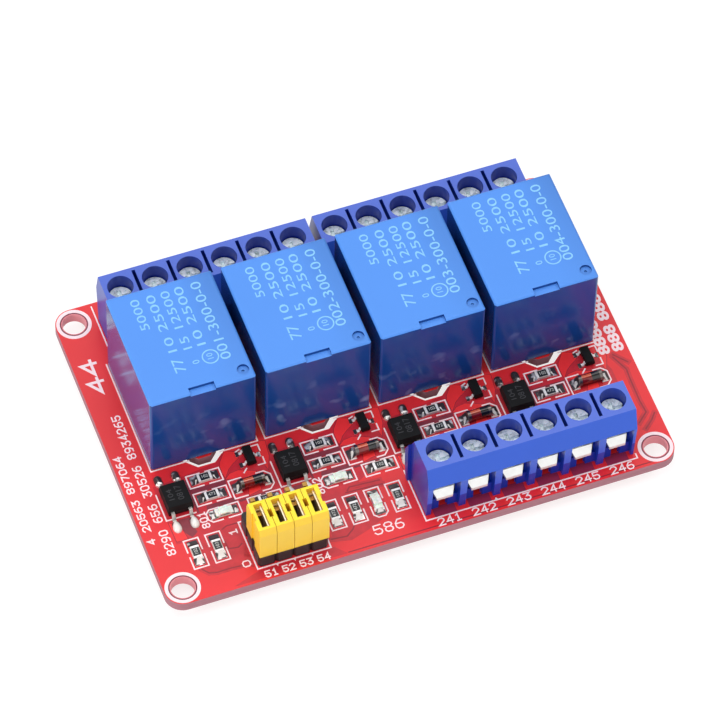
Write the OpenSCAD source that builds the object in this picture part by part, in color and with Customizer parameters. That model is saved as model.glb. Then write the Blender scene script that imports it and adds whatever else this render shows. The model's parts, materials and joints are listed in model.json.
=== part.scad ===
// Four-channel relay module: a red printed circuit board that carries four sealed
// relays, two six-pole output terminals behind them, a six-pole input terminal,
// a row of level-select jumpers and the small surface-mounted parts of each channel.
// Origin: middle of the board in plan, Z = 0 at the ends of the solder tails.
// +X runs along the row of relays, -Y is the input side, +Z is up.

/* [Board] */
// Length of the board, along the row of relays
board_len = 74.8; // [74.4:0.1:80]
// Thickness of the board
board_t = 1.6; // [1:0.1:2.4]
// Radius of the board's corners
corner_r = 2.65; // [1:0.05:4]
// Distance from each edge to the middle of a mounting hole
hole_inset = 2.65; // [2.4:0.05:3]
// Diameter of the mounting holes
hole_d = 3.4; // [2.6:0.1:3.8]
// Length of the solder tails below the board
tail_len = 1.9; // [1.2:0.1:3]
// Clearance of a lead in its plated hole
lead_play = 0.12; // [0.05:0.01:0.2]
// Height of the solder cone round a lead
solder_h = 0.8; // [0.4:0.1:1.1]

/* [Isolation slots] */
// Distance from the common pin to the outer face of its slot
slot_reach = 3.4; // [3:0.1:3.7]
// Width of the milled slot
slot_w = 1.3; // [0.8:0.1:1.6]

/* [Relays] */
// Gap between neighbouring relays
relay_spacing = 1.38; // [0.8:0.02:1.6]
// Place of the middle of the row, along the board
relay_row_x = 0.32; // [-0.4:0.02:0.6]
// Gap between the relays and the output terminals behind them
relay_gap = 0.2; // [0.1:0.05:0.4]
// Width of a relay case
relay_w = 15.4; // [15:0.1:15.8]
// Depth of a relay case
relay_l = 19; // [18.6:0.1:19.4]
// Height of a relay case
relay_h = 15.5; // [12:0.1:20]
// Wall of a relay case
relay_wall = 0.8; // [0.5:0.1:1.1]
// Rounding of the case's outer edges
relay_edge_r = 0.4; // [0.1:0.1:0.8]
// Height of the feet that hold a relay off the board
relay_foot_h = 0.3; // [0.2:0.1:0.8]
// Thickness of the relay's base plate
relay_base_t = 2.4; // [1.5:0.1:4]
// Distance from the case's front face to the common pin
common_setback = 1.9; // [1.6:0.1:2.4]
// Distance from the case's sides to the coil pins and the contact pins
pin_inset = 1.7; // [1.6:0.05:2.2]
// Distance from the common pin back to the coil pins
coil_row = 2; // [1.6:0.1:2.6]
// Distance from the common pin back to the contact pins
contact_row = 14.2; // [13:0.1:14.6]
// Width of the relay's pins
relay_pin_w = 1; // [0.6:0.1:1.2]
// Thickness of the relay's pins
relay_pin_t = 0.5; // [0.3:0.1:0.7]
// Width of the notch in the case's front top edge
notch_w = 3.7; // [2:0.1:6]
// Depth of that notch, from the front face
notch_l = 1.1; // [0.5:0.1:1.3]
// Depth of that notch, from the top face
notch_h = 0.5; // [0.3:0.1:0.6]
// Diameter of the vent dimple in the top face
dimple_d = 1.7; // [1:0.1:2.4]
// Distance from the dimple's middle to the case's front and right faces
dimple_inset = 1.5; // [1.3:0.1:3]

/* [Screw terminals] */
// Distance between neighbouring poles
pole_pitch = 5.1; // [5:0.02:5.12]
// Length of a housing beyond its poles
block_margin = 0.1; // [0:0.05:0.4]
// Height of the housing
block_h = 10.6; // [9.8:0.1:12]
// Distance of the housings' wire side from the middle of the screws, at the board
block_foot = 2.95; // [2.8:0.05:3.2]
// Reach of the lip over the wire entries
lip_reach = 3.55; // [3.4:0.05:4]
// Height of the wire entries under the lip
lip_h = 7; // [6.4:0.1:7.4]
// Distance from the screws to the top face's edge on the wire side
crease_reach = 2.6; // [2.2:0.05:3]
// Distance from the screws to the top face's edge on the closed side
top_back = 2.45; // [2.3:0.05:2.8]
// Reach of the closed side
back_reach = 4.75; // [4.2:0.05:5]
// Height at which the closed side reaches furthest
back_h = 5.9; // [4:0.1:7]
// Diameter of the screw wells
well_d = 3.7; // [3.4:0.1:3.9]
// Depth of the screw heads below the top face
head_depth = 2.4; // [1.6:0.1:2.8]
// Clearance round a screw head in its well
head_play = 0.15; // [0.05:0.05:0.3]
// Height of the screw heads
head_h = 1.2; // [0.8:0.1:1.4]
// Diameter of the screws' threads
thread_d = 2.6; // [2:0.1:2.8]
// Width of the wire entries
entry_w = 4.1; // [3.8:0.05:4.3]
// Width of a wire clamp
clamp_w = 3.6; // [3.4:0.1:3.7]
// Thickness of a wire clamp's side walls
clamp_wall = 0.5; // [0.3:0.05:0.6]
// Distance from the clamp chambers' roof down to the contact strips
strip_drop = 2.8; // [2.4:0.1:3]
// Thickness of the contact strips
strip_t = 0.5; // [0.3:0.1:0.6]
// Place of the input terminal, along the board
input_x = 16; // [15.8:0.1:17]
// Distance from the board's input edge to the input terminal's screws
input_inset = 5.5; // [4.4:0.1:5.8]
// Gap between the two output terminals
output_gap = 1; // [0.6:0.1:2]
// Distance from the board's output edge to the output terminals' screws
output_inset = 5.9; // [5.2:0.1:6]
// Reach of the dovetail rib on one end of a housing
rib_reach = 0.45; // [0.3:0.05:0.5]

/* [Jumpers] */
// Gap between the header and the upright resistors on its right
header_gap = 1.8; // [1:0.1:2]
// Distance from the board's input edge to the middle of the header
header_inset = 6.1; // [5.6:0.1:6.4]
// Distance between neighbouring header pins
pin_pitch = 2.54; // [2.5:0.02:2.6]
// Side of a header pin
pin_side = 0.64; // [0.5:0.02:0.7]
// Height of the header's plastic strip
header_h = 2.54; // [2:0.02:3]
// Height of the header pins above the board
pin_top = 7.1; // [6:0.1:7.8]
// Gap between neighbouring jumper caps
cap_gap = 0.08; // [0.04:0.02:0.2]
// Depth of a jumper cap
cap_l = 5.5; // [5.2:0.1:5.8]
// Height of a jumper cap
cap_h = 6.1; // [5.6:0.1:7]
// Thickness of the cap's contact sheet
cap_sheet = 0.2; // [0.1:0.02:0.24]

/* [Small parts] */
// Distance from the relays' fronts to the first row of chips
row_first = 3.55; // [3.3:0.05:4]
// Distance between the three rows of chips
row_pitch = 3.11; // [2.8:0.01:3.4]
// Distance from the last row of chips to the input terminal
row_last = 2.13; // [1.6:0.01:3]
// Distance between the upright chips beside the header
upright_pitch = 3.12; // [2.6:0.02:3.2]
// Gap between the input terminal and the first upright chip
upright_gap = 1.92; // [1.4:0.02:2.2]
// Length of a chip resistor or chip LED
chip_l = 2; // [1.6:0.1:2.2]
// Width of a chip resistor or chip LED
chip_w = 1.25; // [0.8:0.05:1.4]
// Height of a chip resistor
chip_h = 0.5; // [0.35:0.05:0.7]
// Height of a chip LED
led_h = 0.8; // [0.6:0.05:1.2]
// Length of a solder pad beyond the end of its part
pad_reach = 1.05; // [0.6:0.05:1.1]
// Width of an optocoupler's body
opto_w = 3.75; // [3.4:0.05:4]
// Length of an optocoupler's body
opto_l = 4.15; // [3.8:0.05:4.6]
// Height of an optocoupler
opto_h = 2.1; // [1.8:0.1:2.8]
// Distance between an optocoupler's leads
opto_pitch = 2.54; // [2:0.02:2.8]
// Length of an optocoupler's lead beyond its body
opto_lead_reach = 1.7; // [1.2:0.05:1.8]
// Width of a transistor's body
transistor_w = 1.35; // [1.2:0.05:1.6]
// Length of a transistor's body
transistor_l = 2.9; // [2.7:0.1:3.1]
// Height of a transistor
transistor_h = 1.05; // [0.8:0.05:1.2]
// Distance between a transistor's two leads on one side
transistor_pitch = 1.9; // [1.7:0.05:2]
// Length of a transistor's lead beyond its body
transistor_lead_reach = 0.55; // [0.45:0.05:0.7]
// Width of a transistor's lead
transistor_lead_w = 0.42; // [0.3:0.02:0.5]
// Thickness of a transistor's leads
transistor_lead_t = 0.13; // [0.1:0.01:0.2]
// Diameter of a glass diode
diode_d = 1.5; // [1.2:0.05:1.7]
// Length of a glass diode
diode_l = 3.5; // [3.2:0.1:3.8]

/* [Hidden] */
$fn = 48;
channels = 4;
poles = 6;
header_rows = 3;
eps = 0.01;                 // overlap of cutting shapes only
fit = 0.05;                 // sliding clearance between moulded pieces
deck = tail_len + board_t;  // top face of the board

// Names of the nodes; each channel and each terminal block repeats its own
relay_parts = ["case", "base", "pins"];
channel_parts = ["optocoupler", "optocoupler_leads", "transistor", "diode_glass", "channel_led",
                 "jumper_cap", "jumper_contact"];
blocks = ["input_terminal", "output_terminal_left", "output_terminal_right"];
block_parts = ["housing", "screws", "clamps", "contacts"];

relay_pitch = relay_w + relay_spacing;
pin_span = relay_w - 2 * pin_inset;
head_d = well_d - 2 * head_play;
cap_w = pin_pitch - cap_gap;
block_len = poles * pole_pitch + block_margin;

// The board is as wide as what stands on it, from the input edge to the output edge
board_w = input_inset + back_reach + row_last + 2 * row_pitch + row_first
        + relay_l + relay_gap + back_reach + output_inset;

function channel_x(i) = relay_row_x + (i - (channels + 1) / 2) * relay_pitch;

// Relay places that the board, the pins and the slots share
output_y = board_w / 2 - output_inset;
relay_row_y = output_y - back_reach - relay_gap - relay_l / 2;
relay_front = relay_row_y - relay_l / 2;
common_y = relay_front + common_setback;
relay_pin_spots = [
    [0, common_y],
    [-pin_span / 2, common_y + coil_row], [pin_span / 2, common_y + coil_row],
    [-pin_span / 2, common_y + contact_row], [pin_span / 2, common_y + contact_row]
];
relay_pin_bore = norm([relay_pin_w, relay_pin_t]) + 2 * lead_play;

// Terminal block: own frame has the screws on y = 0, the wire side at -Y and the board at z = 0
pole_shift = 0.15;          // the poles sit off the middle by the dovetail on one end
pole_xs = [for (p = [0 : poles - 1]) (p - (poles - 1) / 2) * pole_pitch + pole_shift];
floor_t = 0.9;
web_t = 0.5;                // ring that a screw head sits on
head_top = block_h - head_depth;
web_top = head_top - head_h;
chamber_top = web_top - web_t;
chamber_front = 1.8;
chamber_back = 2.75;
clamp_l = 3.3;
clamp_top = chamber_top - fit;
clamp_roof = 1.2;           // threaded top of the clamp
clamp_floor = 0.7;
clamp_bottom = floor_t + 0.4;
strip_z = chamber_top - strip_drop;
strip_w = 2.3;
leg_y = chamber_back - strip_t - 0.45;   // the leg stands clear of the chamber's back wall
leg_w = 1;
tongue_w = 3.2;
tongue_tip_w = 2.35;
tongue_drop = 1;
block_pin_bore = norm([leg_w, strip_t]) + 2 * lead_play;
input_place = [input_x, -board_w / 2 + input_inset, 0];
output_x = (block_len + output_gap) / 2;
block_places = [input_place, [-output_x, output_y, 180], [output_x, output_y, 180]];

// Upright chips between the input terminal and the header: the second is the power LED
upright_inset = 6.9;        // from the board's input edge
upright_xs = [for (k = [0 : 3]) input_x - (block_len + chip_w) / 2 - upright_gap - k * upright_pitch];

// Jumper header: one column for each channel, rows run from the input side
header_x = upright_xs[3] - chip_w / 2 - header_gap - channels / 2 * pin_pitch;
header_y = -board_w / 2 + header_inset;
column_xs = [for (i = [1 : channels]) header_x + (i - (channels + 1) / 2) * pin_pitch];
row_ys = [for (r = [0 : header_rows - 1]) header_y + (r - (header_rows - 1) / 2) * pin_pitch];
cap_y = (row_ys[0] + row_ys[1]) / 2;
header_pin_bore = norm([pin_side, pin_side]) + 2 * lead_play;
slot_len = pin_pitch + pin_side + 2 * cap_sheet + 0.3;
slot_side = pin_side + 2 * cap_sheet + 2 * fit;

// Columns of a channel's small parts, from the relay's middle: the gaps run in from the
// borders with the neighbouring channels
opto_border = 0.37;
resistor_gap = 1.03;
diode_border = 0.89;
base_border = 0.72;
chip_reach = chip_l / 2 + pad_reach;
opto_x = -relay_pitch / 2 + opto_border + opto_w / 2;
resistor_x = opto_x + opto_w / 2 + resistor_gap + chip_reach;
led_x = resistor_x + 0.65;
diode_x = relay_pitch / 2 - diode_border - pad_reach - diode_l / 2;
base_x = relay_pitch / 2 - base_border - chip_reach;

// Places of a channel's small parts: [from the relay's middle, out from the relays' fronts]
rows = [for (k = [0 : 2]) row_first + k * row_pitch];
opto_spot = [opto_x, rows[1] - 0.66];
upper_resistor_spot = [resistor_x, rows[0]];
lower_resistor_spot = [resistor_x, rows[1]];
led_spot = [led_x, rows[2]];
base_resistor_spot = [base_x, rows[2]];
diode_spot = [diode_x, rows[1]];
transistor_spot = [base_x + 0.15, rows[0] - 1.25];
row_lift = [0, 0, 0.15, 0.6];   // the resistors and diode sit nearer the relay on the last channels

// Places of the upright chips: [along the board, in from the input edge]
outer_gap = 3.6;            // from the header to the chips on its left
outer_x = header_x - channels / 2 * pin_pitch - outer_gap - chip_w / 2;
outer_inset = upright_inset + 0.4;
upright_resistor_spots = [
    [outer_x - upright_pitch, outer_inset], [outer_x, outer_inset],
    [upright_xs[3], upright_inset], [upright_xs[2], upright_inset], [upright_xs[0], upright_inset]
];
power_led_spot = [upright_xs[1], upright_inset];

// ---------------------------------------------------------------- shared shapes

// Rectangle with rounded corners, centred
module rounded_rect(size, r) {
    square([size.x - 2 * r, size.y], center = true);
    square([size.x, size.y - 2 * r], center = true);
    for (x = [-1, 1], y = [-1, 1])
        translate([x * (size.x / 2 - r), y * (size.y / 2 - r)]) circle(r);
}

// Box that stands on z = 0, centred in plan
module standing_box(size) {
    translate([-size.x / 2, -size.y / 2, 0]) cube(size);
}

// Side view (y, z) drawn out along X, centred
module along_x(len) {
    rotate([90, 0, 90]) linear_extrude(len, center = true) children();
}

// Front view (x, z) drawn out along Y, centred
module along_y(len) {
    rotate([90, 0, 0]) linear_extrude(len, center = true) children();
}

// Block with rounded upright edges and a rounded top, standing on z = 0
module soft_block(size, r) {
    intersection() {
        linear_extrude(size.z) rounded_rect([size.x, size.y], r);
        along_x(size.x) top_rounded(size.y, size.z, r);
        along_y(size.y) top_rounded(size.x, size.z, r);
    }
}

module top_rounded(w, h, r) {
    translate([-w / 2, 0]) square([w, h - r]);
    translate([-w / 2 + r, 0]) square([w - 2 * r, h]);
    for (x = [-1, 1]) translate([x * (w / 2 - r), h - r]) circle(r);
}

// Solder cone round a lead, pointing down from z = 0
module solder_cone(foot_r, tip_r, h) {
    rotate_extrude()
        polygon([[0, 0], [foot_r, 0], [foot_r * 0.72, -h * 0.3], [tip_r * 1.15, -h * 0.75], [tip_r, -h], [0, -h]]);
}

// Solder fillet on a pad: rises from the pad's outer end (+X) to the part at x = 0
module pad_solder(reach, w, rise) {
    along_y(w) polygon([[0, 0], [reach, 0], [reach, 0.08], [reach * 0.45, rise * 0.35], [0, rise]]);
}

// Round-ended drop of solder on a pad, from x = 0 outward
module solder_drop(len, w) {
    intersection() {
        union() {
            for (x = [w / 2, len - w / 2]) translate([x, 0, 0]) sphere(d = w);
            translate([w / 2, 0, 0]) rotate([0, 90, 0]) cylinder(d = w, h = len - w);
        }
        translate([0, -w / 2, 0]) cube([len, w, w / 2]);
    }
}

// Gull-wing lead: leaves the body at x = 0 and height z, and ends flat on the board
module gull_lead(out, z, w, t) {
    knee = out * 0.25;
    heel = out * 0.5;
    along_y(w) polygon([[0, z], [knee, z], [heel, t], [out, t], [out, 0], [heel - t * 0.6, 0],
                        [knee - t * 0.6, z - t], [0, z - t]]);
}

module each_relay() {
    for (i = [1 : channels]) translate([channel_x(i), 0]) children();
}

module at_block(b) {
    translate([block_places[b].x, block_places[b].y, deck]) rotate(block_places[b].z) children();
}

// ---------------------------------------------------------------- circuit board

// Slot milled round a relay's common pin, open towards the contacts
module isolation_slot() {
    octagon = 1 / cos(22.5);
    translate([0, common_y]) difference() {
        rotate(22.5) circle(slot_reach * octagon, $fn = 8);
        rotate(22.5) circle((slot_reach - slot_w) * octagon, $fn = 8);
        translate([-slot_reach * 0.45, 0]) square([slot_reach * 0.9, slot_reach * 2]);
    }
}

module lead_holes() {
    each_relay() for (p = relay_pin_spots) translate(p) circle(d = relay_pin_bore);
    for (b = block_places, x = pole_xs)
        translate([b.x, b.y]) rotate(b.z) translate([x, leg_y + strip_t / 2]) circle(d = block_pin_bore);
    for (x = column_xs, y = row_ys) translate([x, y]) circle(d = header_pin_bore);
}

module circuit_board() {
    color("crimson") translate([0, 0, tail_len]) linear_extrude(board_t) difference() {
        rounded_rect([board_len, board_w], corner_r);
        for (x = [-1, 1], y = [-1, 1])
            translate([x * (board_len / 2 - hole_inset), y * (board_w / 2 - hole_inset)]) circle(d = hole_d);
        each_relay() isolation_slot();
        lead_holes();
    }
}

// ---------------------------------------------------------------- relays

module relay_inner(grow) {
    w = relay_w - 2 * relay_wall + 2 * grow;
    l = relay_l - 2 * relay_wall + 2 * grow;
    square([w, l], center = true);
}

module at_relay(i) {
    translate([channel_x(i), relay_row_y, deck + relay_foot_h]) children();
}

// Moulded case: an open-bottomed box with an index notch and a vent dimple in its top
module relay_case(i) {
    dimple_spot = [relay_w / 2 - dimple_inset + 0.1, -relay_l / 2 + dimple_inset + 0.1];
    color("dodgerblue") at_relay(i) difference() {
        soft_block([relay_w, relay_l, relay_h], relay_edge_r);
        translate([0, 0, -eps]) linear_extrude(relay_h - relay_wall + eps) relay_inner(0);
        translate([0, -relay_l / 2 - eps, relay_h - notch_h])
            translate([-notch_w / 2, 0, 0]) cube([notch_w, notch_l + eps, notch_h + eps]);
        translate([dimple_spot.x, dimple_spot.y, relay_h - relay_wall / 2]) cylinder(d = dimple_d, h = relay_wall);
        translate([dimple_spot.x, dimple_spot.y, relay_h - relay_wall * 0.75]) cylinder(d = dimple_d / 4, h = relay_wall);
    }
}

// Base plate that closes the case and stands on four feet
module relay_base(i) {
    foot_d = 1.6;
    foot_x = (pin_span - relay_pin_w - foot_d) / 2 - 0.4;   // the feet stand inside the pins
    foot_y = relay_l / 2 - relay_wall - foot_d;
    color("midnightblue") at_relay(i) difference() {
        union() {
            linear_extrude(relay_base_t) relay_inner(-fit);
            for (x = [-1, 1], y = [-1, 1])
                translate([x * foot_x, y * foot_y, -relay_foot_h])
                    cylinder(d = foot_d, h = relay_foot_h + eps);
        }
        translate([0, -relay_row_y, -eps]) linear_extrude(relay_base_t + 2 * eps)
            for (p = relay_pin_spots) translate(p) square([relay_pin_w, relay_pin_t], center = true);
    }
}

module relay_pins(i) {
    color("silver") translate([channel_x(i), 0, 0]) for (p = relay_pin_spots)
        translate(p) linear_extrude(deck + relay_foot_h + relay_base_t)
            square([relay_pin_w, relay_pin_t], center = true);
}

// ---------------------------------------------------------------- screw terminals

module block_outline() {
    polygon([[-block_foot, 0], [-lip_reach, lip_h], [-crease_reach, block_h], [top_back, block_h],
             [back_reach, back_h], [back_reach - 0.75, 0]]);
}

// One pole cut out of the housing: screw well, clamp chamber, wire entry and its feet
module pole_cut() {
    foot_set = 0.75;        // feet stand back from the housing's face
    foot_h = strip_z - tongue_drop - 0.4;
    foot_gap = 1.3;
    entry_l = lip_reach - chamber_front + eps;
    cylinder(d = well_d, h = block_h + eps);
    translate([0, (chamber_back - chamber_front) / 2, floor_t])
        standing_box([clamp_w + 4 * fit, chamber_back + chamber_front, chamber_top - floor_t]);
    translate([-entry_w / 2, -lip_reach - eps, foot_h]) cube([entry_w, entry_l + 2 * eps, lip_h - foot_h]);
    translate([0, -block_foot, -eps]) standing_box([entry_w, 2 * foot_set, foot_h + 2 * eps]);
    translate([-foot_gap / 2, -lip_reach - eps, -eps]) cube([foot_gap, entry_l + 2 * eps, foot_h + 2 * eps]);
    translate([0, leg_y + strip_t / 2, -eps]) standing_box([leg_w, strip_t, floor_t + 2 * eps]);
}

module block_housing(b) {
    rib_l = 1.1;
    groove_w = 0.5;
    groove_depth = 2.4;
    groove_end = 0.5;       // skin left at both ends of a groove
    color("royalblue") at_block(b) difference() {
        union() {
            along_x(block_len) block_outline();
            // dovetail rib on one end, at the closed side
            translate([-(block_len + rib_reach) / 2, 0, 0]) along_x(rib_reach + eps) intersection() {
                block_outline();
                translate([back_reach - rib_l - 0.3, 0]) square([rib_l, block_h]);
            }
        }
        for (x = pole_xs) translate([x, 0, 0]) difference() {
            pole_cut();
            // the ring under the screw head stays
            translate([0, 0, chamber_top]) difference() {
                standing_box([well_d + 1, well_d + 1, web_t]);
                translate([0, 0, -eps]) cylinder(d = thread_d + 4 * fit, h = web_t + 2 * eps);
            }
        }
        for (p = [0 : poles - 2])
            translate([pole_xs[p] + pole_pitch / 2, 0, block_h - groove_depth])
                translate([-groove_w / 2, groove_end - crease_reach, 0])
                    cube([groove_w, crease_reach + top_back - 2 * groove_end, groove_depth + eps]);
    }
}

// Screws with a slot and cross drive, one for each pole
module block_screws(b) {
    drive_depth = 0.55;
    slot_t = 0.6;
    color("lightgray") at_block(b) for (x = pole_xs) translate([x, 0, 0]) difference() {
        union() {
            translate([0, 0, web_top]) cylinder(d = head_d, h = head_h);
            translate([0, 0, strip_z + strip_t]) cylinder(d = thread_d, h = web_top - strip_z - strip_t + eps);
        }
        translate([0, 0, head_top - drive_depth]) {
            standing_box([head_d + 1, slot_t, drive_depth + eps]);
            standing_box([slot_t, head_d * 0.62, drive_depth + eps]);
        }
    }
}

// Rising clamps: square cages with a threaded roof, open to the wire
module block_clamps(b) {
    window_h = clamp_top - clamp_roof - clamp_bottom - clamp_floor;
    color("gainsboro") at_block(b) for (x = pole_xs) translate([x, 0, 0]) difference() {
        translate([0, 0, clamp_bottom]) standing_box([clamp_w, clamp_l, clamp_top - clamp_bottom]);
        translate([0, 0, clamp_bottom + clamp_floor])
            standing_box([clamp_w - 2 * clamp_wall, clamp_l + 1, window_h]);
        translate([0, 0, clamp_bottom + clamp_floor]) cylinder(d = thread_d + fit, h = clamp_top);
    }
}

// Contact strips: tapered tongue in the wire entry, strip through the clamp, leg through the board
module block_contacts(b) {
    front = clamp_l / 2 + 0.35;
    tip = front + 0.8;
    color("whitesmoke") at_block(b) for (x = pole_xs) translate([x, 0, 0]) {
        translate([-strip_w / 2, -front, strip_z]) cube([strip_w, front + leg_y + strip_t, strip_t]);
        translate([-leg_w / 2, leg_y, -deck]) cube([leg_w, strip_t, deck + strip_z + eps]);
        intersection() {
            along_x(tongue_w) polygon([
                [-front + 0.2, strip_z], [-front + 0.2, strip_z + strip_t], [-front, strip_z + strip_t],
                [-tip, strip_z + strip_t - tongue_drop], [-tip, strip_z - tongue_drop]]);
            linear_extrude(block_h) polygon([
                [-tongue_w / 2, -front + 0.2], [-tongue_w / 2, -front], [-tongue_tip_w / 2, -tip],
                [tongue_tip_w / 2, -tip], [tongue_w / 2, -front], [tongue_w / 2, -front + 0.2]]);
        }
    }
}

// ---------------------------------------------------------------- jumper header

// Strip of moulded cells, one round each pin
module header_strip() {
    corner = 0.35;
    h = pin_pitch / 2;
    color("black") translate([0, 0, deck]) difference() {
        for (x = column_xs, y = row_ys) translate([x, y, 0]) linear_extrude(header_h)
            polygon([[-h, -h + corner], [-h + corner, -h], [h - corner, -h], [h, -h + corner],
                     [h, h - corner], [h - corner, h], [-h + corner, h], [-h, h - corner]]);
        for (x = column_xs, y = row_ys) translate([x, y, -eps])
            standing_box([pin_side, pin_side, header_h + 2 * eps]);
    }
}

module header_pins() {
    color("gold") for (x = column_xs, y = row_ys)
        translate([x, y, tail_len * 0.3]) standing_box([pin_side, pin_side, deck + pin_top - tail_len * 0.3]);
}

// Cap with bevelled ends and grip reliefs; its slot shows the contact from above
module jumper_cap(i) {
    bevel_l = 0.4;
    bevel_h = 1.1;
    relief_l = 1.3;
    relief_t = 0.25;
    color("gold") translate([column_xs[i - 1], cap_y, deck + header_h]) difference() {
        along_x(cap_w) polygon([
            [-cap_l / 2, 0], [-cap_l / 2, cap_h - bevel_h], [-cap_l / 2 + bevel_l, cap_h],
            [cap_l / 2 - bevel_l, cap_h], [cap_l / 2, cap_h - bevel_h], [cap_l / 2, 0]]);
        translate([0, 0, -eps]) standing_box([slot_side, slot_len, cap_h + 2 * eps]);
        for (x = [-1, 1]) translate([x * cap_w / 2, 0, -eps])
            standing_box([2 * relief_t, relief_l, cap_h + 2 * eps]);
    }
}

// Contact of a cap: one long cheek, and two short fingers, that grip the pins
module jumper_contact(i) {
    cheek_h = cap_h - 0.8;
    finger_l = pin_side + 0.9;
    color("khaki") translate([column_xs[i - 1], cap_y, deck + header_h + 0.2]) {
        translate([pin_side / 2, -slot_len / 2 + fit, 0]) cube([cap_sheet, slot_len - 2 * fit, cheek_h]);
        for (y = [-1, 1]) translate([0, y * (slot_len / 2 - fit - cap_sheet / 2), 0])
            standing_box([pin_side + 2 * cap_sheet, cap_sheet, cheek_h - 0.6]);
        for (y = [-1, 1]) translate([-pin_side / 2 - cap_sheet / 2, y * (slot_len / 2 - fit - finger_l / 2), 0])
            standing_box([cap_sheet, finger_l, cheek_h - 0.6]);
    }
}

// ---------------------------------------------------------------- small parts

module at_channel(i, spot, lift = 0) {
    translate([channel_x(i) + spot.x, relay_front - spot.y + lift, deck]) children();
}

module at_upright(spot) {
    translate([spot.x, -board_w / 2 + spot.y, deck]) rotate(90) children();
}

// Moulded body whose four sides lean in from the parting line
module moulded_body(w, l, h, draft) {
    lift = 0.1;
    mid = h / 2;
    intersection() {
        along_x(w) polygon([[-l / 2 + draft, lift], [-l / 2, mid], [-l / 2 + draft, h],
                            [l / 2 - draft, h], [l / 2, mid], [l / 2 - draft, lift]]);
        along_y(l) polygon([[-w / 2 + draft, lift], [-w / 2, mid], [-w / 2 + draft, h],
                            [w / 2 - draft, h], [w / 2, mid], [w / 2 - draft, lift]]);
    }
}

module optocoupler(i) {
    color("#28282a") at_channel(i, opto_spot) moulded_body(opto_w, opto_l, opto_h, 0.15);
}

module opto_lead() {
    lead_t = 0.2;
    gull_lead(opto_lead_reach, (opto_h + lead_t) / 2, 0.5, lead_t);
}

module each_opto_lead(i) {
    at_channel(i, opto_spot) for (side = [-1, 1], x = [-opto_pitch / 2, opto_pitch / 2])
        translate([x, side * opto_l / 2, 0]) rotate(side * 90) children();
}

module optocoupler_leads(i) {
    color("silver") each_opto_lead(i) opto_lead();
}

// Leads of a transistor: side of its body, place along it
transistor_leads_at = [[-1, -transistor_pitch / 2], [-1, transistor_pitch / 2], [1, 0]];

module transistor(i) {
    color("#2a2a2a") at_channel(i, transistor_spot)
        moulded_body(transistor_w, transistor_l, transistor_h, 0.1);
}

module transistor_leads() {
    color("silver") for (i = [1 : channels]) at_channel(i, transistor_spot) for (p = transistor_leads_at)
        translate([p.x * transistor_w / 2, p.y, 0]) rotate(p.x > 0 ? 0 : 180)
            gull_lead(transistor_lead_reach, (transistor_h + transistor_lead_t) / 2, transistor_lead_w,
                      transistor_lead_t);
}

module diode_glass(i) {
    cap_l = 0.45;
    cap_d = diode_d + 0.1;
    at_channel(i, diode_spot, row_lift[i - 1]) translate([0, 0, cap_d / 2]) rotate([0, 90, 0]) {
        color("orangered") cylinder(d = diode_d, h = diode_l - 2 * cap_l, center = true);
        color("silver") for (x = [-1, 1]) translate([0, 0, x * (diode_l - cap_l) / 2])
            cylinder(d = cap_d, h = cap_l, center = true);
    }
}

// Chip LED: a thin carrier with a smaller clear block on it
module chip_led() {
    carrier_h = led_h * 0.35;
    standing_box([chip_l, chip_w, carrier_h]);
    standing_box([chip_l * 0.66, chip_w - 0.05, led_h]);
}

module channel_led(i) {
    color("mintcream") at_channel(i, led_spot) chip_led();
}

module power_led() {
    color("mintcream") at_upright(power_led_spot) chip_led();
}

// Chip resistors lie across the board in the channels and upright beside the header
module each_resistor() {
    for (i = [1 : channels]) {
        at_channel(i, upper_resistor_spot, row_lift[i - 1]) children();
        at_channel(i, lower_resistor_spot, row_lift[i - 1]) children();
        at_channel(i, base_resistor_spot) children();
    }
    for (spot = upright_resistor_spots) at_upright(spot) children();
}

chip_cap_l = 0.35;

module resistors() {
    color("#202022") each_resistor() standing_box([chip_l - 2 * chip_cap_l, chip_w, chip_h]);
}

module resistor_caps() {
    color("silver") each_resistor() for (x = [-1, 1])
        translate([x * (chip_l - chip_cap_l) / 2, 0, 0]) standing_box([chip_cap_l, chip_w, chip_h]);
}

// Solder at both ends of a two-ended part that is len long
module end_solder(len, reach, w, rise) {
    for (a = [0, 180]) rotate(a) translate([len / 2, 0, 0]) pad_solder(reach, w, rise);
}

module surface_solder() {
    drop_l = 1.9;
    drop_w = 1.15;
    color("lightgray") {
        each_resistor() end_solder(chip_l, pad_reach, chip_w + 0.2, chip_h * 0.8);
        for (i = [1 : channels]) {
            at_channel(i, led_spot) end_solder(chip_l, pad_reach, chip_w + 0.2, led_h * 0.35);
            at_channel(i, diode_spot, row_lift[i - 1]) end_solder(diode_l, pad_reach, diode_d + 0.1, diode_d / 2);
            each_opto_lead(i) difference() {
                translate([opto_lead_reach - drop_l * 0.4, 0, 0]) solder_drop(drop_l, drop_w);
                opto_lead();
            }
            at_channel(i, transistor_spot) for (p = transistor_leads_at)
                translate([p.x * (transistor_w / 2 + transistor_lead_reach), p.y, 0]) rotate(p.x > 0 ? 0 : 180)
                    pad_solder(0.45, 0.8, transistor_lead_t);
        }
        at_upright(power_led_spot) end_solder(chip_l, pad_reach, chip_w + 0.2, led_h * 0.35);
        lead_solder();
    }
}

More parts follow.
